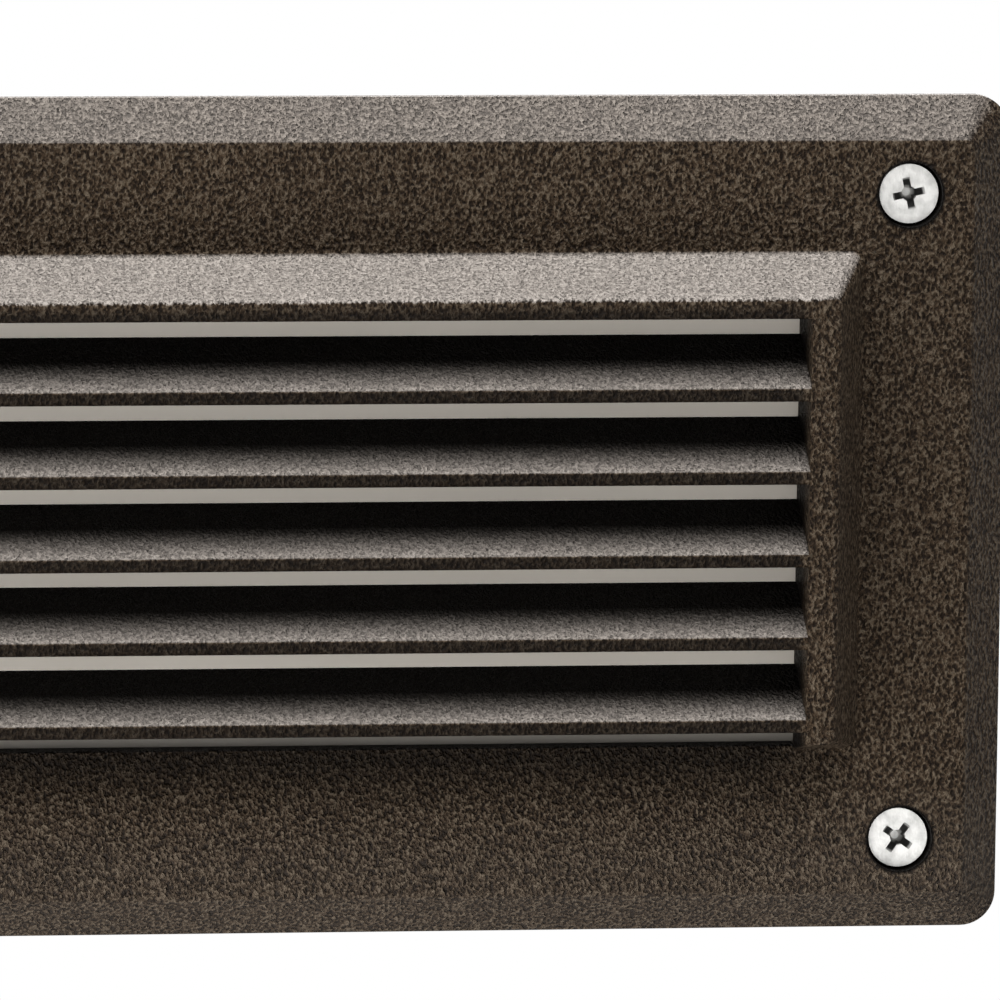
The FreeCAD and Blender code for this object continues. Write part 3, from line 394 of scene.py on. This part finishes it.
def under_hood(coat):
    """1 on the plate just below the hood, fading out towards the plate's lower edge and its sides."""
    return coat.math(
        "MULTIPLY",
        coat.fade(coat.across(), HOOD_HALF, clear=2.9, full=-13.1),
        coat.fade(coat.axis("Z"), HOOD_BOTTOM, clear=-9.4, full=-1.4),
        coat.fade(coat.axis("Z"), HOOD_BOTTOM, clear=1.1, full=0.1),
    )


def round_screws(coat):
    """1 on each face screw's seat and in a narrow ring of painted shade round it."""
    upper_right = screw_places()[1]
    squares = []
    for letter, middle in zip("XZ", upper_right):
        off = coat.math("SUBTRACT", coat.math("ABSOLUTE", coat.axis(letter)), middle)
        squares.append(coat.math("POWER", off, 2.0))
    reach = coat.math("SQRT", coat.math("ADD", *squares))
    return coat.fade(reach, SCREW_HEAD, clear=0.95, full=0.55)


def bronze_coat(coats):
    """Coarse sand-grain powder coat: crests carry a painted highlight, pits painted shade, and painted
    shade makes it near black deep between the louvres."""
    coat = Finish("bronze_powder_coat", coats.bronze, coats.grain_gloss)
    skewed = coat.stretched(along=(1.1, 1.0, 0.82), turned=(0.3, 0.75, 0.2))
    grain = coat.noise(coats.grain, detail=1.2, distortion=0.3, where=skewed, roughness=0.45)
    fine = coat.noise(coats.grain * 0.45, detail=1.0, where=skewed)
    patches = coat.noise(spacing=0.035, detail=2.0)

    # the grain's tone, with a painted highlight on the crests and painted shade in the pits
    pit = coat.span(grain, 0.36, 0.52)
    crest = coat.span(grain, 0.50, 0.66)
    patch = coat.span(patches, 0.3, 0.7, to_high=0.2)
    shade = coat.blend(pit, coats.bronze_pit, coats.bronze)
    shade = coat.blend(crest, shade, coats.bronze_crest)
    shade = coat.blend(patch, shade, coats.bronze_pit)

    # pale dust and painted top light on what looks up, thinner in the pits, with a ragged painted highlight
    # along the hood's front edge
    ragged_edge_light = coat.math("MULTIPLY", hood_edge(coat), coat.span(grain, 0.4, 0.6, to_low=0.3))
    uneven = coat.span(grain, 0.3, 0.7, to_low=-0.05, to_high=0.05)
    looks_up = coat.math("ADD", coat.facing("Z"), uneven, ragged_edge_light)
    dusted_and_lit = coat.span(looks_up, 0.5, 0.95, to_high=coats.dust_and_light_cover)
    dusted_and_lit = coat.math("MULTIPLY", dusted_and_lit, coat.span(grain, 0.34, 0.6, to_low=0.66))
    # painted light, paler towards the plate's lower edge
    lower_lit = coat.span(coat.axis("Z"), LOWER_LIGHT_TOP, LOWER_LIGHT_FULL, to_high=coats.splash)
    shade = coat.blend(coat.math("MAXIMUM", dusted_and_lit, lower_lit), shade, coats.dust)

    # painted shade, near black: deep between the louvres, just below the hood, on the blades' lips and
    # round the screws
    deep = coat.span(inside_louvres(coat), 0.0, 1.0, to_high=coats.louvre_shade)
    under = coat.math("MULTIPLY", under_hood(coat), coats.under_dark)
    lips = coat.math("MULTIPLY", louvre_lips(coat), coats.lip_dark)
    dark = coat.math("MAXIMUM", deep, under, lips, round_screws(coat))
    coat.paint(coat.blend(dark, shade, coats.grime))

    rough, smooth = coats.grain_gloss + 0.12, coats.grain_gloss - 0.06
    coat.gloss(coat.span(grain, 0.3, 0.7, to_low=rough, to_high=smooth))
    coat.surface.inputs["Specular IOR Level"].default_value = coats.sheen
    coat.bump(grain, depth=coats.grain_depth)
    coat.bump(fine, depth=coats.fine_depth, strength=0.6)
    return coat.material


def housing_paint(coats):
    """Matt grey paint over a sand-cast skin."""
    coat = Finish("housing_paint", coats.housing, roughness=0.62)
    skin = coat.noise(spacing=0.0011, detail=3.0)
    patches = coat.noise(spacing=0.02, detail=3.0)
    coat.paint(coat.blend(coat.span(patches, 0.3, 0.72), coats.housing, dimmed(coats.housing, 0.88)))
    coat.gloss(coat.span(skin, 0.3, 0.7, to_low=0.55, to_high=0.72))
    coat.bump(skin, depth=0.00035, strength=0.55)
    coat.bump(patches, depth=0.002, strength=0.15)
    return coat.material


def white_enamel(coats):
    """Smooth white enamel with a slight ripple and a little dust."""
    coat = Finish("white_enamel", coats.enamel, roughness=0.32)
    ripple = coat.noise(spacing=0.006, detail=1.0)
    dust = coat.noise(spacing=0.0016, detail=3.0)
    coat.paint(coat.blend(coat.span(dust, 0.52, 0.74), coats.enamel, dimmed(coats.enamel, 0.93)))
    coat.gloss(coat.span(dust, 0.4, 0.7, to_low=0.28, to_high=0.42))
    coat.bump(ripple, depth=0.0004, strength=0.2)
    return coat.material


def sponge_rubber(coats):
    """Closed-cell sponge: cut cells over a skin."""
    foam = Finish("sponge_rubber", coats.sponge, roughness=0.9)
    pores = foam.cells(spacing=0.0007)
    gain, lift = 1.9, 0.006
    walls = tuple(level * gain + lift for level in coats.sponge)
    foam.paint(foam.blend(foam.span(pores, 0.1, 0.6), coats.sponge, walls))
    foam.bump(pores, depth=0.00035, strength=0.8)
    return foam.material


def silicone_rubber(coats):
    """Soft grey rubber with a pale bloom."""
    rubber = Finish("silicone", coats.silicone, roughness=0.55)
    bloom = rubber.noise(spacing=0.004, detail=3.0)
    rubber.paint(rubber.blend(rubber.span(bloom, 0.35, 0.7), coats.silicone, dimmed(coats.silicone, 0.8)))
    rubber.bump(rubber.noise(spacing=0.0006), depth=0.0001, strength=0.3)
    return rubber.material


def frosted_pane(clear):
    """Etched glass: a pale matt face that lets a little light through and hides what is behind it."""
    glass = Finish("frosted_glass", clear.pane, clear.frost)
    frost = glass.noise(spacing=0.0005, detail=2.0)
    cloud = glass.noise(spacing=0.03, detail=2.0)
    glass.paint(glass.blend(glass.span(cloud, 0.35, 0.7), clear.pane, dimmed(clear.pane, 0.93)))
    glass.gloss(glass.span(frost, 0.3, 0.7, to_low=clear.frost - 0.06, to_high=clear.frost + 0.08))
    glass.surface.inputs["IOR"].default_value = 1.5
    glass.surface.inputs["Transmission Weight"].default_value = clear.clearness
    glass.bump(frost, depth=0.00005, strength=0.3)
    return glass.material


def brushed(name, shade, along, roughness, line=0.00025):
    """Turned or rolled metal with fine lines and faint stains."""
    metal = Finish(name, shade, roughness, metallic=1.0)
    lines = metal.noise(line, detail=2.0, where=metal.stretched(along))
    stain = metal.noise(spacing=0.003, detail=3.0)
    metal.paint(metal.blend(metal.span(stain, 0.42, 0.78), shade, dimmed(shade, 0.72)))
    metal.gloss(metal.span(lines, 0.3, 0.7, to_low=roughness - 0.08, to_high=roughness + 0.14))
    metal.bump(lines, depth=0.00004, strength=0.35)
    return metal.material


def screw_steel(metals):
    """Stainless screw: bright rolled top, with painted shade inside the driving recess."""
    metal = Finish("stainless", metals.stainless, roughness=0.55, metallic=1.0)
    lines = metal.noise(spacing=0.0003, detail=2.0, where=metal.stretched(along=(1.0, 1.0, 0.35)))
    stain = metal.noise(spacing=0.0016, detail=3.0)
    stained = dimmed(metals.stainless, 0.62)
    bright = metal.blend(metal.span(stain, 0.4, 0.8), metals.stainless, stained)

    # painted shade fills the recess from a little under the head's top, and the shank below it is bright
    # again
    sunk = metal.fade(metal.axis("Y"), SCREW_TOP, clear=0.12, full=0.5)
    shank = metal.fade(metal.axis("Y"), SCREW_TOP, clear=1.7, full=2.4)
    shade = metal.math("SUBTRACT", sunk, shank, clamp=True)
    metal.paint(metal.blend(shade, bright, metals.recess))
    metal.metal(metal.span(shade, 0.0, 1.0, to_low=1.0, to_high=0.0))

    metal.gloss(metal.span(lines, 0.3, 0.7, to_low=0.46, to_high=0.66))
    metal.bump(lines, depth=0.00004, strength=0.4)
    metal.bump(stain, depth=0.0003, strength=0.35)
    return metal.material


def green_screw(metals):
    """Green lacquer over steel, with darker patches."""
    metal = Finish("ground_green", metals.bonding, roughness=0.3, metallic=0.6)
    patches = metal.noise(spacing=0.0015, detail=2.0)
    metal.paint(metal.blend(metal.span(patches, 0.35, 0.7), metals.bonding, metals.bonding_worn))
    return metal.material


def plastic(name, shade, roughness, grain=0.0007, depth=0.00008):
    """Moulded plastic with a fine spark-eroded grain."""
    skin = Finish(name, shade, roughness)
    texture = skin.noise(grain, detail=2.0)
    patches = skin.noise(spacing=0.012, detail=2.0)
    skin.paint(skin.blend(skin.span(patches, 0.35, 0.7), shade, dimmed(shade, 0.9)))
    skin.gloss(skin.span(texture, 0.3, 0.7, to_low=roughness - 0.06, to_high=min(1.0, roughness + 0.1)))
    skin.bump(texture, depth, strength=0.5)
    return skin.material


def lamp_package(electric):
    """Cream package with a yellow window sunk in its face."""
    part = Finish("lamp_package", electric.package, roughness=0.45)
    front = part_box("leds")[0].y
    square_on, aslant = -0.9, -0.7
    window = part.math(
        "MULTIPLY",
        part.fade(part.axis("Y"), front, clear=0.02, full=0.06),
        part.span(part.facing("Y"), aslant, square_on),
    )
    cloud = part.noise(spacing=0.0004, detail=2.0)
    deeper = dimmed(electric.phosphor, 0.8)
    yellow = part.blend(part.span(cloud, 0.35, 0.7), electric.phosphor, deeper)
    part.paint(part.blend(window, electric.package, yellow))
    part.bump(cloud, depth=0.00003, strength=0.4)
    return part.material


def lead_skin(name, shade):
    """Extruded insulation with faint scuffs."""
    skin = Finish(name, shade, roughness=0.42)
    scuffs = skin.noise(spacing=0.0025, detail=2.0)
    skin.paint(skin.blend(skin.span(scuffs, 0.4, 0.7), shade, dimmed(shade, 0.75)))
    skin.bump(skin.noise(spacing=0.0009), depth=0.00006, strength=0.3)
    return skin.material


def dress(node, material):
    """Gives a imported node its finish."""
    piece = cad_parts[node]
    piece.data.materials.clear()
    piece.data.materials.append(material)


# ---------------------------------------------------------------- modelling tools


def fresh(name):
    """Takes the object that a primitive operator just made and names it."""
    piece = bpy.context.active_object
    piece.name = piece.data.name = name
    return piece


def only(*pieces):
    """Selects these pieces alone, the first as the active one."""
    bpy.ops.object.select_all(action="DESELECT")
    for piece in pieces:
        piece.select_set(True)
    bpy.context.view_layer.objects.active = pieces[0]


def pick(piece, test):
    """Goes into edit mode with those vertices selected whose place passes a test."""
    bpy.ops.object.mode_set(mode="EDIT")
    bpy.ops.mesh.select_mode(type="VERT")
    bpy.ops.mesh.select_all(action="DESELECT")
    bpy.ops.object.mode_set(mode="OBJECT")
    for vertex in piece.data.vertices:
        vertex.select = test(vertex.co)
    bpy.ops.object.mode_set(mode="EDIT")


def settle(piece):
    """Puts a piece's place into its mesh, closes its holes and points its faces outwards."""
    only(piece)
    bpy.ops.object.transform_apply(location=True, rotation=True, scale=True)
    bpy.ops.object.mode_set(mode="EDIT")
    bpy.ops.mesh.select_all(action="SELECT")
    bpy.ops.mesh.remove_doubles(threshold=1e-6)
    bpy.ops.mesh.fill_holes(sides=0)
    bpy.ops.mesh.normals_make_consistent(inside=False)
    bpy.ops.object.mode_set(mode="OBJECT")
    return piece


def repeated(piece, moves):
    """Copies of a piece, each with a mesh of its own that is moved by a matrix. The piece itself goes."""
    twins = []
    for move in moves:
        twin = piece.copy()
        twin.data = piece.data.copy()
        bpy.context.collection.objects.link(twin)
        twin.data.transform(move)
        twins.append(twin)
    bpy.data.objects.remove(piece)
    return twins


def join(pieces, name):
    """Makes one piece of several."""
    only(*pieces)
    bpy.ops.object.join()
    whole = bpy.context.active_object
    whole.name = whole.data.name = name
    return whole


def finished(piece, body, material):
    """Shades a piece, gives it its finish and hangs it on its body."""
    only(piece)
    bpy.ops.object.shade_smooth_by_angle(angle=SMOOTH_ANGLE)
    piece.data.materials.clear()
    piece.data.materials.append(material)
    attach(piece, body)


# ---------------------------------------------------------------- operators: finishes


class STEPLIGHT_OT_coats(bpy.types.Operator):
    """Paints the castings, the tray, the gasket and the seal"""

    bl_idname = "steplight.coats"
    bl_label = "Coats and rubbers"

    def execute(self, context):
        coats = context.scene.step_coats
        dress("faceplate", bronze_coat(coats))
        dress("housing", housing_paint(coats))
        dress("reflector_tray", white_enamel(coats))
        dress("faceplate_gasket", sponge_rubber(coats))
        dress("lens_seal", silicone_rubber(coats))
        return {"FINISHED"}


class STEPLIGHT_OT_pane(bpy.types.Operator):
    """Frosts the pane behind the louvres"""

    bl_idname = "steplight.pane"
    bl_label = "Frosted pane"

    def execute(self, context):
        dress("lens", frosted_pane(context.scene.step_clear))
        return {"FINISHED"}


class STEPLIGHT_OT_metals(bpy.types.Operator):
    """Finishes the screws, the pane's clips and the conduit plugs"""

    bl_idname = "steplight.metals"
    bl_label = "Bare metals"

    def execute(self, context):
        metals = context.scene.step_metals

        # how the fine lines are drawn out: upright, from side to side, or not at all
        up, across, plain = (1.0, 1.0, 0.4), (0.15, 1.0, 1.0), (1.0, 1.0, 1.0)
        dress("face_screws", screw_steel(metals))
        zinc = brushed("zinc_steel", metals.zinc, along=up, roughness=0.34)
        for node in ("lens_clip_screws", "tray_screws", "board_screws", "driver_screws", "terminal_screws"):
            dress(node, zinc)
        dress("lens_clips", brushed("spring_steel", metals.spring, along=across, roughness=0.3))
        plugs = brushed("plug_metal", metals.plug, along=plain, roughness=0.48, line=0.0008)
        dress("conduit_plugs", plugs)
        dress("ground_screw", green_screw(metals))
        return {"FINISHED"}


class STEPLIGHT_OT_electric(bpy.types.Operator):
    """Finishes the lamp board, the driver, the terminals, the leads and the nylon keepers"""

    bl_idname = "steplight.electric"
    bl_label = "Lamp board, driver and leads"

    def execute(self, context):
        electric = context.scene.step_electric
        board = plastic("board_mask", electric.mask, roughness=0.35, grain=0.0012, depth=0.00003)
        dress("led_board", board)
        dress("leds", lamp_package(electric))
        dress("driver", plastic("driver_black", electric.driver, roughness=0.5))
        dress("terminal_block", plastic("terminal_plastic", electric.block, roughness=0.4))
        dress("screw_keepers", plastic("nylon", electric.nylon, roughness=0.5))
        dress("thermal_pad", plastic("thermal_grey", electric.heat_pad, roughness=0.75))
        dress("supply_leads", lead_skin("lead_insulation", electric.supply))
        dress("ground_lead", lead_skin("lead_green", electric.ground))
        dress("lamp_leads", lead_skin("lead_red", electric.lamp))
        return {"FINISHED"}


# ---------------------------------------------------------------- operators: new pieces


class STEPLIGHT_OT_threads(bpy.types.Operator):
    """Winds a thread round the shank of each face screw"""

    bl_idname = "steplight.threads"
    bl_label = "Face screw threads"

    def execute(self, context):
        metals = context.scene.step_metals
        pitch, root, crest = metals.thread_pitch, metals.thread_root, metals.thread_crest
        start, plain_tip = 0.6 * MM, 1.6 * MM
        steps_per_turn = 18

        # the ridge's width at its root as a share of the pitch, and at its crest as a share of that
        root_share, crest_share = 0.72, 1 / 6
        flank = (root + crest) / 2
        turns = int((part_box("face_screws")[1].y - plain_tip - start) / pitch)
        bpy.ops.object.select_all(action="DESELECT")
        bpy.ops.mesh.primitive_plane_add(size=1.0, location=(flank, 0, 0), rotation=(math.pi / 2, 0, 0))
        ridge = fresh("ridge")
        ridge.scale = (crest - root, root_share * pitch, 1)
        bpy.ops.object.transform_apply(location=True, rotation=True, scale=True)
        pick(ridge, lambda place: place.x > flank)
        bpy.ops.transform.resize(value=(1, 1, crest_share), center_override=(crest, 0, 0))
        bpy.ops.object.mode_set(mode="OBJECT")
        wind = ridge.modifiers.new("wind", "SCREW")
        wind.axis = "Z"
        wind.angle = math.tau * turns
        wind.screw_offset = pitch * turns
        wind.steps = wind.render_steps = steps_per_turn * turns
        bpy.ops.object.modifier_apply(modifier="wind")
        ridge.rotation_euler = (-math.pi / 2, 0, 0)
        ridge.location = (0, start, 0)
        settle(ridge)
        wound = repeated(ridge, [Matrix.Translation((x, 0, z)) for x, z in screw_places()])
        steel = bpy.data.materials["stainless"]
        finished(join(wound, "face_screw_threads"), "cover", steel)
        return {"FINISHED"}


class STEPLIGHT_OT_board_detail(bpy.types.Operator):
    """Adds tinned pads and solder beads to the lamp board"""

    bl_idname = "steplight.board_detail"
    bl_label = "Pads and solder"

    def execute(self, context):
        electric = context.scene.step_electric
        pads = repeated(self.pad(electric), self.pad_places())
        beads = repeated(self.bead(electric), self.bead_places())
        tin = brushed("solder", electric.solder, along=(1.0, 1.0, 1.0), roughness=0.25, line=0.0006)
        finished(join(pads + beads, "board_solder"), "base", tin)
        return {"FINISHED"}

    @staticmethod
    def pad(electric):
        """A flat pad with softened edges, whose back is at Y = 0."""
        rounding = 0.02 * MM
        thick = electric.pad_thick
        bpy.ops.object.select_all(action="DESELECT")
        bpy.ops.mesh.primitive_cube_add(size=1.0, location=(0, -thick / 2, 0))
        pad = fresh("pad")
        pad.scale = (electric.pad_long, thick, electric.pad_high)
        bpy.ops.object.transform_apply(location=True, rotation=True, scale=True)
        bpy.ops.object.mode_set(mode="EDIT")
        bpy.ops.mesh.select_all(action="SELECT")
        bpy.ops.mesh.bevel(offset=rounding, segments=2)
        bpy.ops.object.mode_set(mode="OBJECT")
        return pad

    @staticmethod
    def pad_places():
        """At each end of each lamp package."""
        aside = 2.6 * MM
        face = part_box("led_board")[0].y
        low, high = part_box("leds")
        first = low.x + LAMP_LONG / 2
        step = (high.x - low.x - LAMP_LONG) / (LAMPS - 1)
        middles = [first + i * step for i in range(LAMPS)]
        return [Matrix.Translation((x + side * aside, face, 0)) for x in middles for side in (-1, 1)]

    @staticmethod
    def bead(electric):
        """A flattened bead, cut off flat at Y = 0."""
        flattened = (1.0, 0.5, 1.25)
        raised = 0.2 * MM
        bpy.ops.object.select_all(action="DESELECT")
        bpy.ops.mesh.primitive_uv_sphere_add(
            segments=24, ring_count=14, radius=electric.bead_radius, location=(0, -raised, 0)
        )
        bead = fresh("bead")
        bead.scale = flattened
        bpy.ops.object.transform_apply(location=True, rotation=True, scale=True)
        bpy.ops.object.mode_set(mode="EDIT")
        bpy.ops.mesh.select_all(action="SELECT")
        bpy.ops.mesh.bisect(plane_co=(0, 0, 0), plane_no=(0, 1, 0), clear_outer=True)
        bpy.ops.object.mode_set(mode="OBJECT")
        return settle(bead)

    @staticmethod
    def bead_places():
        """Where the two lamp leads meet the board, near its right end."""
        end_margin, aside = 13 * MM, 4 * MM
        low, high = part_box("led_board")
        x = high.x - end_margin
        return [Matrix.Translation((x, low.y, side * aside)) for side in (-1, 1)]


class STEPLIGHT_OT_driver_detail(bpy.types.Operator):
    """Adds the rubber collars where leads leave the driver"""

    bl_idname = "steplight.driver_detail"
    bl_label = "Driver collars"

    def execute(self, context):
        electric = context.scene.step_electric
        collars = repeated(self.collar(electric), self.exits())
        rubber = plastic("collar_rubber", electric.collar, roughness=0.7)
        finished(join(collars, "driver_collars"), "base", rubber)
        return {"FINISHED"}

    @staticmethod
    def collar(electric):
        """A tapering collar that stands on X = 0 and points to the right."""
        # each stretch of its side: how long it is in mm, and how far it narrows
        taper = ((1.0, 1.0), (0.4, 0.86), (1.4, 0.82), (0.3, 0.7))
        bpy.ops.object.select_all(action="DESELECT")
        bpy.ops.mesh.primitive_circle_add(
            vertices=28, radius=electric.collar_radius, fill_type="NGON", rotation=(0, math.pi / 2, 0)
        )
        collar = fresh("collar")
        bpy.ops.object.transform_apply(location=True, rotation=True, scale=True)
        bpy.ops.object.mode_set(mode="EDIT")
        bpy.ops.mesh.select_all(action="SELECT")
        for stretch, narrowing in taper:
            bpy.ops.mesh.extrude_region_move(TRANSFORM_OT_translate={"value": (stretch * MM, 0, 0)})
            bpy.ops.transform.resize(value=(1, narrowing, narrowing), center_override=(0, 0, 0))
        bpy.ops.object.mode_set(mode="OBJECT")
        return settle(collar)

    @staticmethod
    def exits():
        """Where the supply leads leave the driver's left end, and the lamp leads its right end."""
        low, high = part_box("driver")
        left, right, foot = low.x + DRIVER_TAB, high.x - DRIVER_TAB, high.y
        supply = ((left, foot - 16 * MM, 6 * MM), (left, foot - 10 * MM, 8 * MM))
        lamp = ((right, foot - 14 * MM, -5 * MM), (right, foot - 14 * MM, 5 * MM))
        about = Matrix.Rotation(math.pi, 4, "Z")
        return [Matrix.Translation(place) @ about for place in supply] + [
            Matrix.Translation(place) for place in lamp
        ]


# ---------------------------------------------------------------- the stage


def area_light(name, power, size, place):
    """A soft light that shines on the middle of the fitting and isn't seen itself."""
    lamp = bpy.data.lights.new(name, "AREA")
    lamp.shape = "RECTANGLE"
    lamp.size, lamp.size_y = size
    lamp.energy = power
    stand = bpy.data.objects.new(name, lamp)
    stand.location = place
    stand.rotation_euler = (-Vector(place)).to_track_quat("-Z", "Y").to_euler()
    stand.visible_camera = False
    bpy.context.collection.objects.link(stand)


def white_behind(nodes, links, shader, output):
    """White to the camera, to mirrors and through glass; the given shader to everything else."""
    path = nodes.new("ShaderNodeLightPath")
    seen = path.outputs["Is Camera Ray"]
    for kind in ("Is Glossy Ray", "Is Transmission Ray"):
        either = nodes.new("ShaderNodeMath")
        either.operation = "MAXIMUM"
        links.new(seen, either.inputs[0])
        links.new(path.outputs[kind], either.inputs[1])
        seen = either.outputs[0]
    in_material = output.type == "OUTPUT_MATERIAL"
    white = nodes.new("ShaderNodeEmission" if in_material else "ShaderNodeBackground")
    white.inputs["Color"].default_value = (1, 1, 1, 1)
    white.inputs["Strength"].default_value = 1.0
    mix = nodes.new("ShaderNodeMixShader")
    links.new(seen, mix.inputs["Fac"])
    links.new(shader, mix.inputs[SHADER_A])
    links.new(white.outputs[0], mix.inputs[SHADER_B])
    links.new(mix.outputs[0], output.inputs["Surface"])


class STEPLIGHT_OT_studio(bpy.types.Operator):
    """Sets up the pale floor, the soft light and the camera"""

    bl_idname = "steplight.studio"
    bl_label = "Studio"

    def execute(self, context):
        studio = context.scene.step_studio
        scene = context.scene
        scene.view_settings.view_transform = "Standard"
        self.room(scene, studio)
        self.floor(studio)
        area_light("overhead", studio.overhead, size=(1.1, 0.6), place=(0.0, -0.24, 0.85))
        area_light("front", studio.front, size=(1.2, 0.9), place=(-0.9, -1.3, 0.0))
        area_light("low", studio.low, size=(0.6, 0.2), place=(-0.15, -0.3, -0.26))
        area_light("rear", studio.rear, size=(1.2, 0.9), place=(0.7, 1.3, 0.3))
        scene.camera = self.camera(studio)
        return {"FINISHED"}

    @staticmethod
    def room(scene, studio):
        """A dim, slightly warm room that looks white."""
        warm_white = (1.0, 0.99, 0.975)
        world = scene.world or bpy.data.worlds.new("studio")
        scene.world = world
        world.use_nodes = True
        tree = world.node_tree
        back = tree.nodes["Background"]
        back.inputs["Color"].default_value = (*warm_white, 1)
        back.inputs["Strength"].default_value = studio.room
        white_behind(tree.nodes, tree.links, back.outputs[0], tree.nodes["World Output"])

    @staticmethod
    def floor(studio):
        """A wide sheet of mid-grey paper that looks white and throws a little light back up."""
        grey, paler, darker = (0.5, 0.5, 0.49), (0.52, 0.52, 0.51), (0.48, 0.48, 0.47)
        bpy.ops.object.select_all(action="DESELECT")
        bpy.ops.mesh.primitive_plane_add(size=8, location=(0, 0, -studio.floor_drop))
        floor = fresh("studio_floor")
        paper = Finish("studio_paper", grey, roughness=0.9)
        paper.paint(paper.blend(paper.noise(spacing=0.02, detail=3.0), paler, darker))
        output = paper.nodes["Material Output"]
        white_behind(paper.nodes, paper.links, paper.surface.outputs[0], output)
        floor.data.materials.append(paper.material)

    @staticmethod
    def camera(studio):
        """The photograph's view: from far off, in front, a little to the left and above."""
        aim = Vector((studio.aim_x, 0, studio.aim_z))
        sight = Vector(
            (
                math.sin(studio.yaw) * math.cos(studio.pitch),
                math.cos(studio.yaw) * math.cos(studio.pitch),
                -math.sin(studio.pitch),
            )
        )
        camera = bpy.data.cameras.new("camera")
        camera.sensor_width = 36
        camera.lens = camera.sensor_width * studio.distance / studio.picture
        camera.clip_start, camera.clip_end = 0.01, 50
        eye = bpy.data.objects.new("camera", camera)
        eye.location = aim - sight * studio.distance
        level = sight.to_track_quat("-Z", "Y")
        turn = Matrix.Rotation(-studio.roll, 4, sight)
        eye.rotation_euler = (turn @ level.to_matrix().to_4x4()).to_euler()
        bpy.context.collection.objects.link(eye)
        return eye


OPERATORS = (
    STEPLIGHT_OT_coats,
    STEPLIGHT_OT_pane,
    STEPLIGHT_OT_metals,
    STEPLIGHT_OT_electric,
    STEPLIGHT_OT_threads,
    STEPLIGHT_OT_board_detail,
    STEPLIGHT_OT_driver_detail,
    STEPLIGHT_OT_studio,
)


class STEPLIGHT_PT_panel(bpy.types.Panel):
    """The step light's pieces and finishes"""

    bl_idname = "STEPLIGHT_PT_panel"
    bl_label = "Step light"
    bl_space_type = "VIEW_3D"
    bl_region_type = "UI"
    bl_category = "Step light"

    def draw(self, context):
        for operator in OPERATORS:
            self.layout.operator(operator.bl_idname)
        for name, group in GROUPS.items():
            box = self.layout.box()
            settings = getattr(context.scene, name)
            for field in group.__annotations__:
                box.prop(settings, field)


CLASSES = (*GROUPS.values(), *OPERATORS, STEPLIGHT_PT_panel)


def register():
    for made in CLASSES:
        bpy.utils.register_class(made)
    for name, group in GROUPS.items():
        setattr(bpy.types.Scene, name, bpy.props.PointerProperty(type=group))


def unregister():
    for name in GROUPS:
        delattr(bpy.types.Scene, name)
    for made in reversed(CLASSES):
        bpy.utils.unregister_class(made)


def main():
    register()
    for operator in OPERATORS:
        family, action = operator.bl_idname.split(".")
        getattr(getattr(bpy.ops, family), action)()


if __name__ == "__main__":
    main()
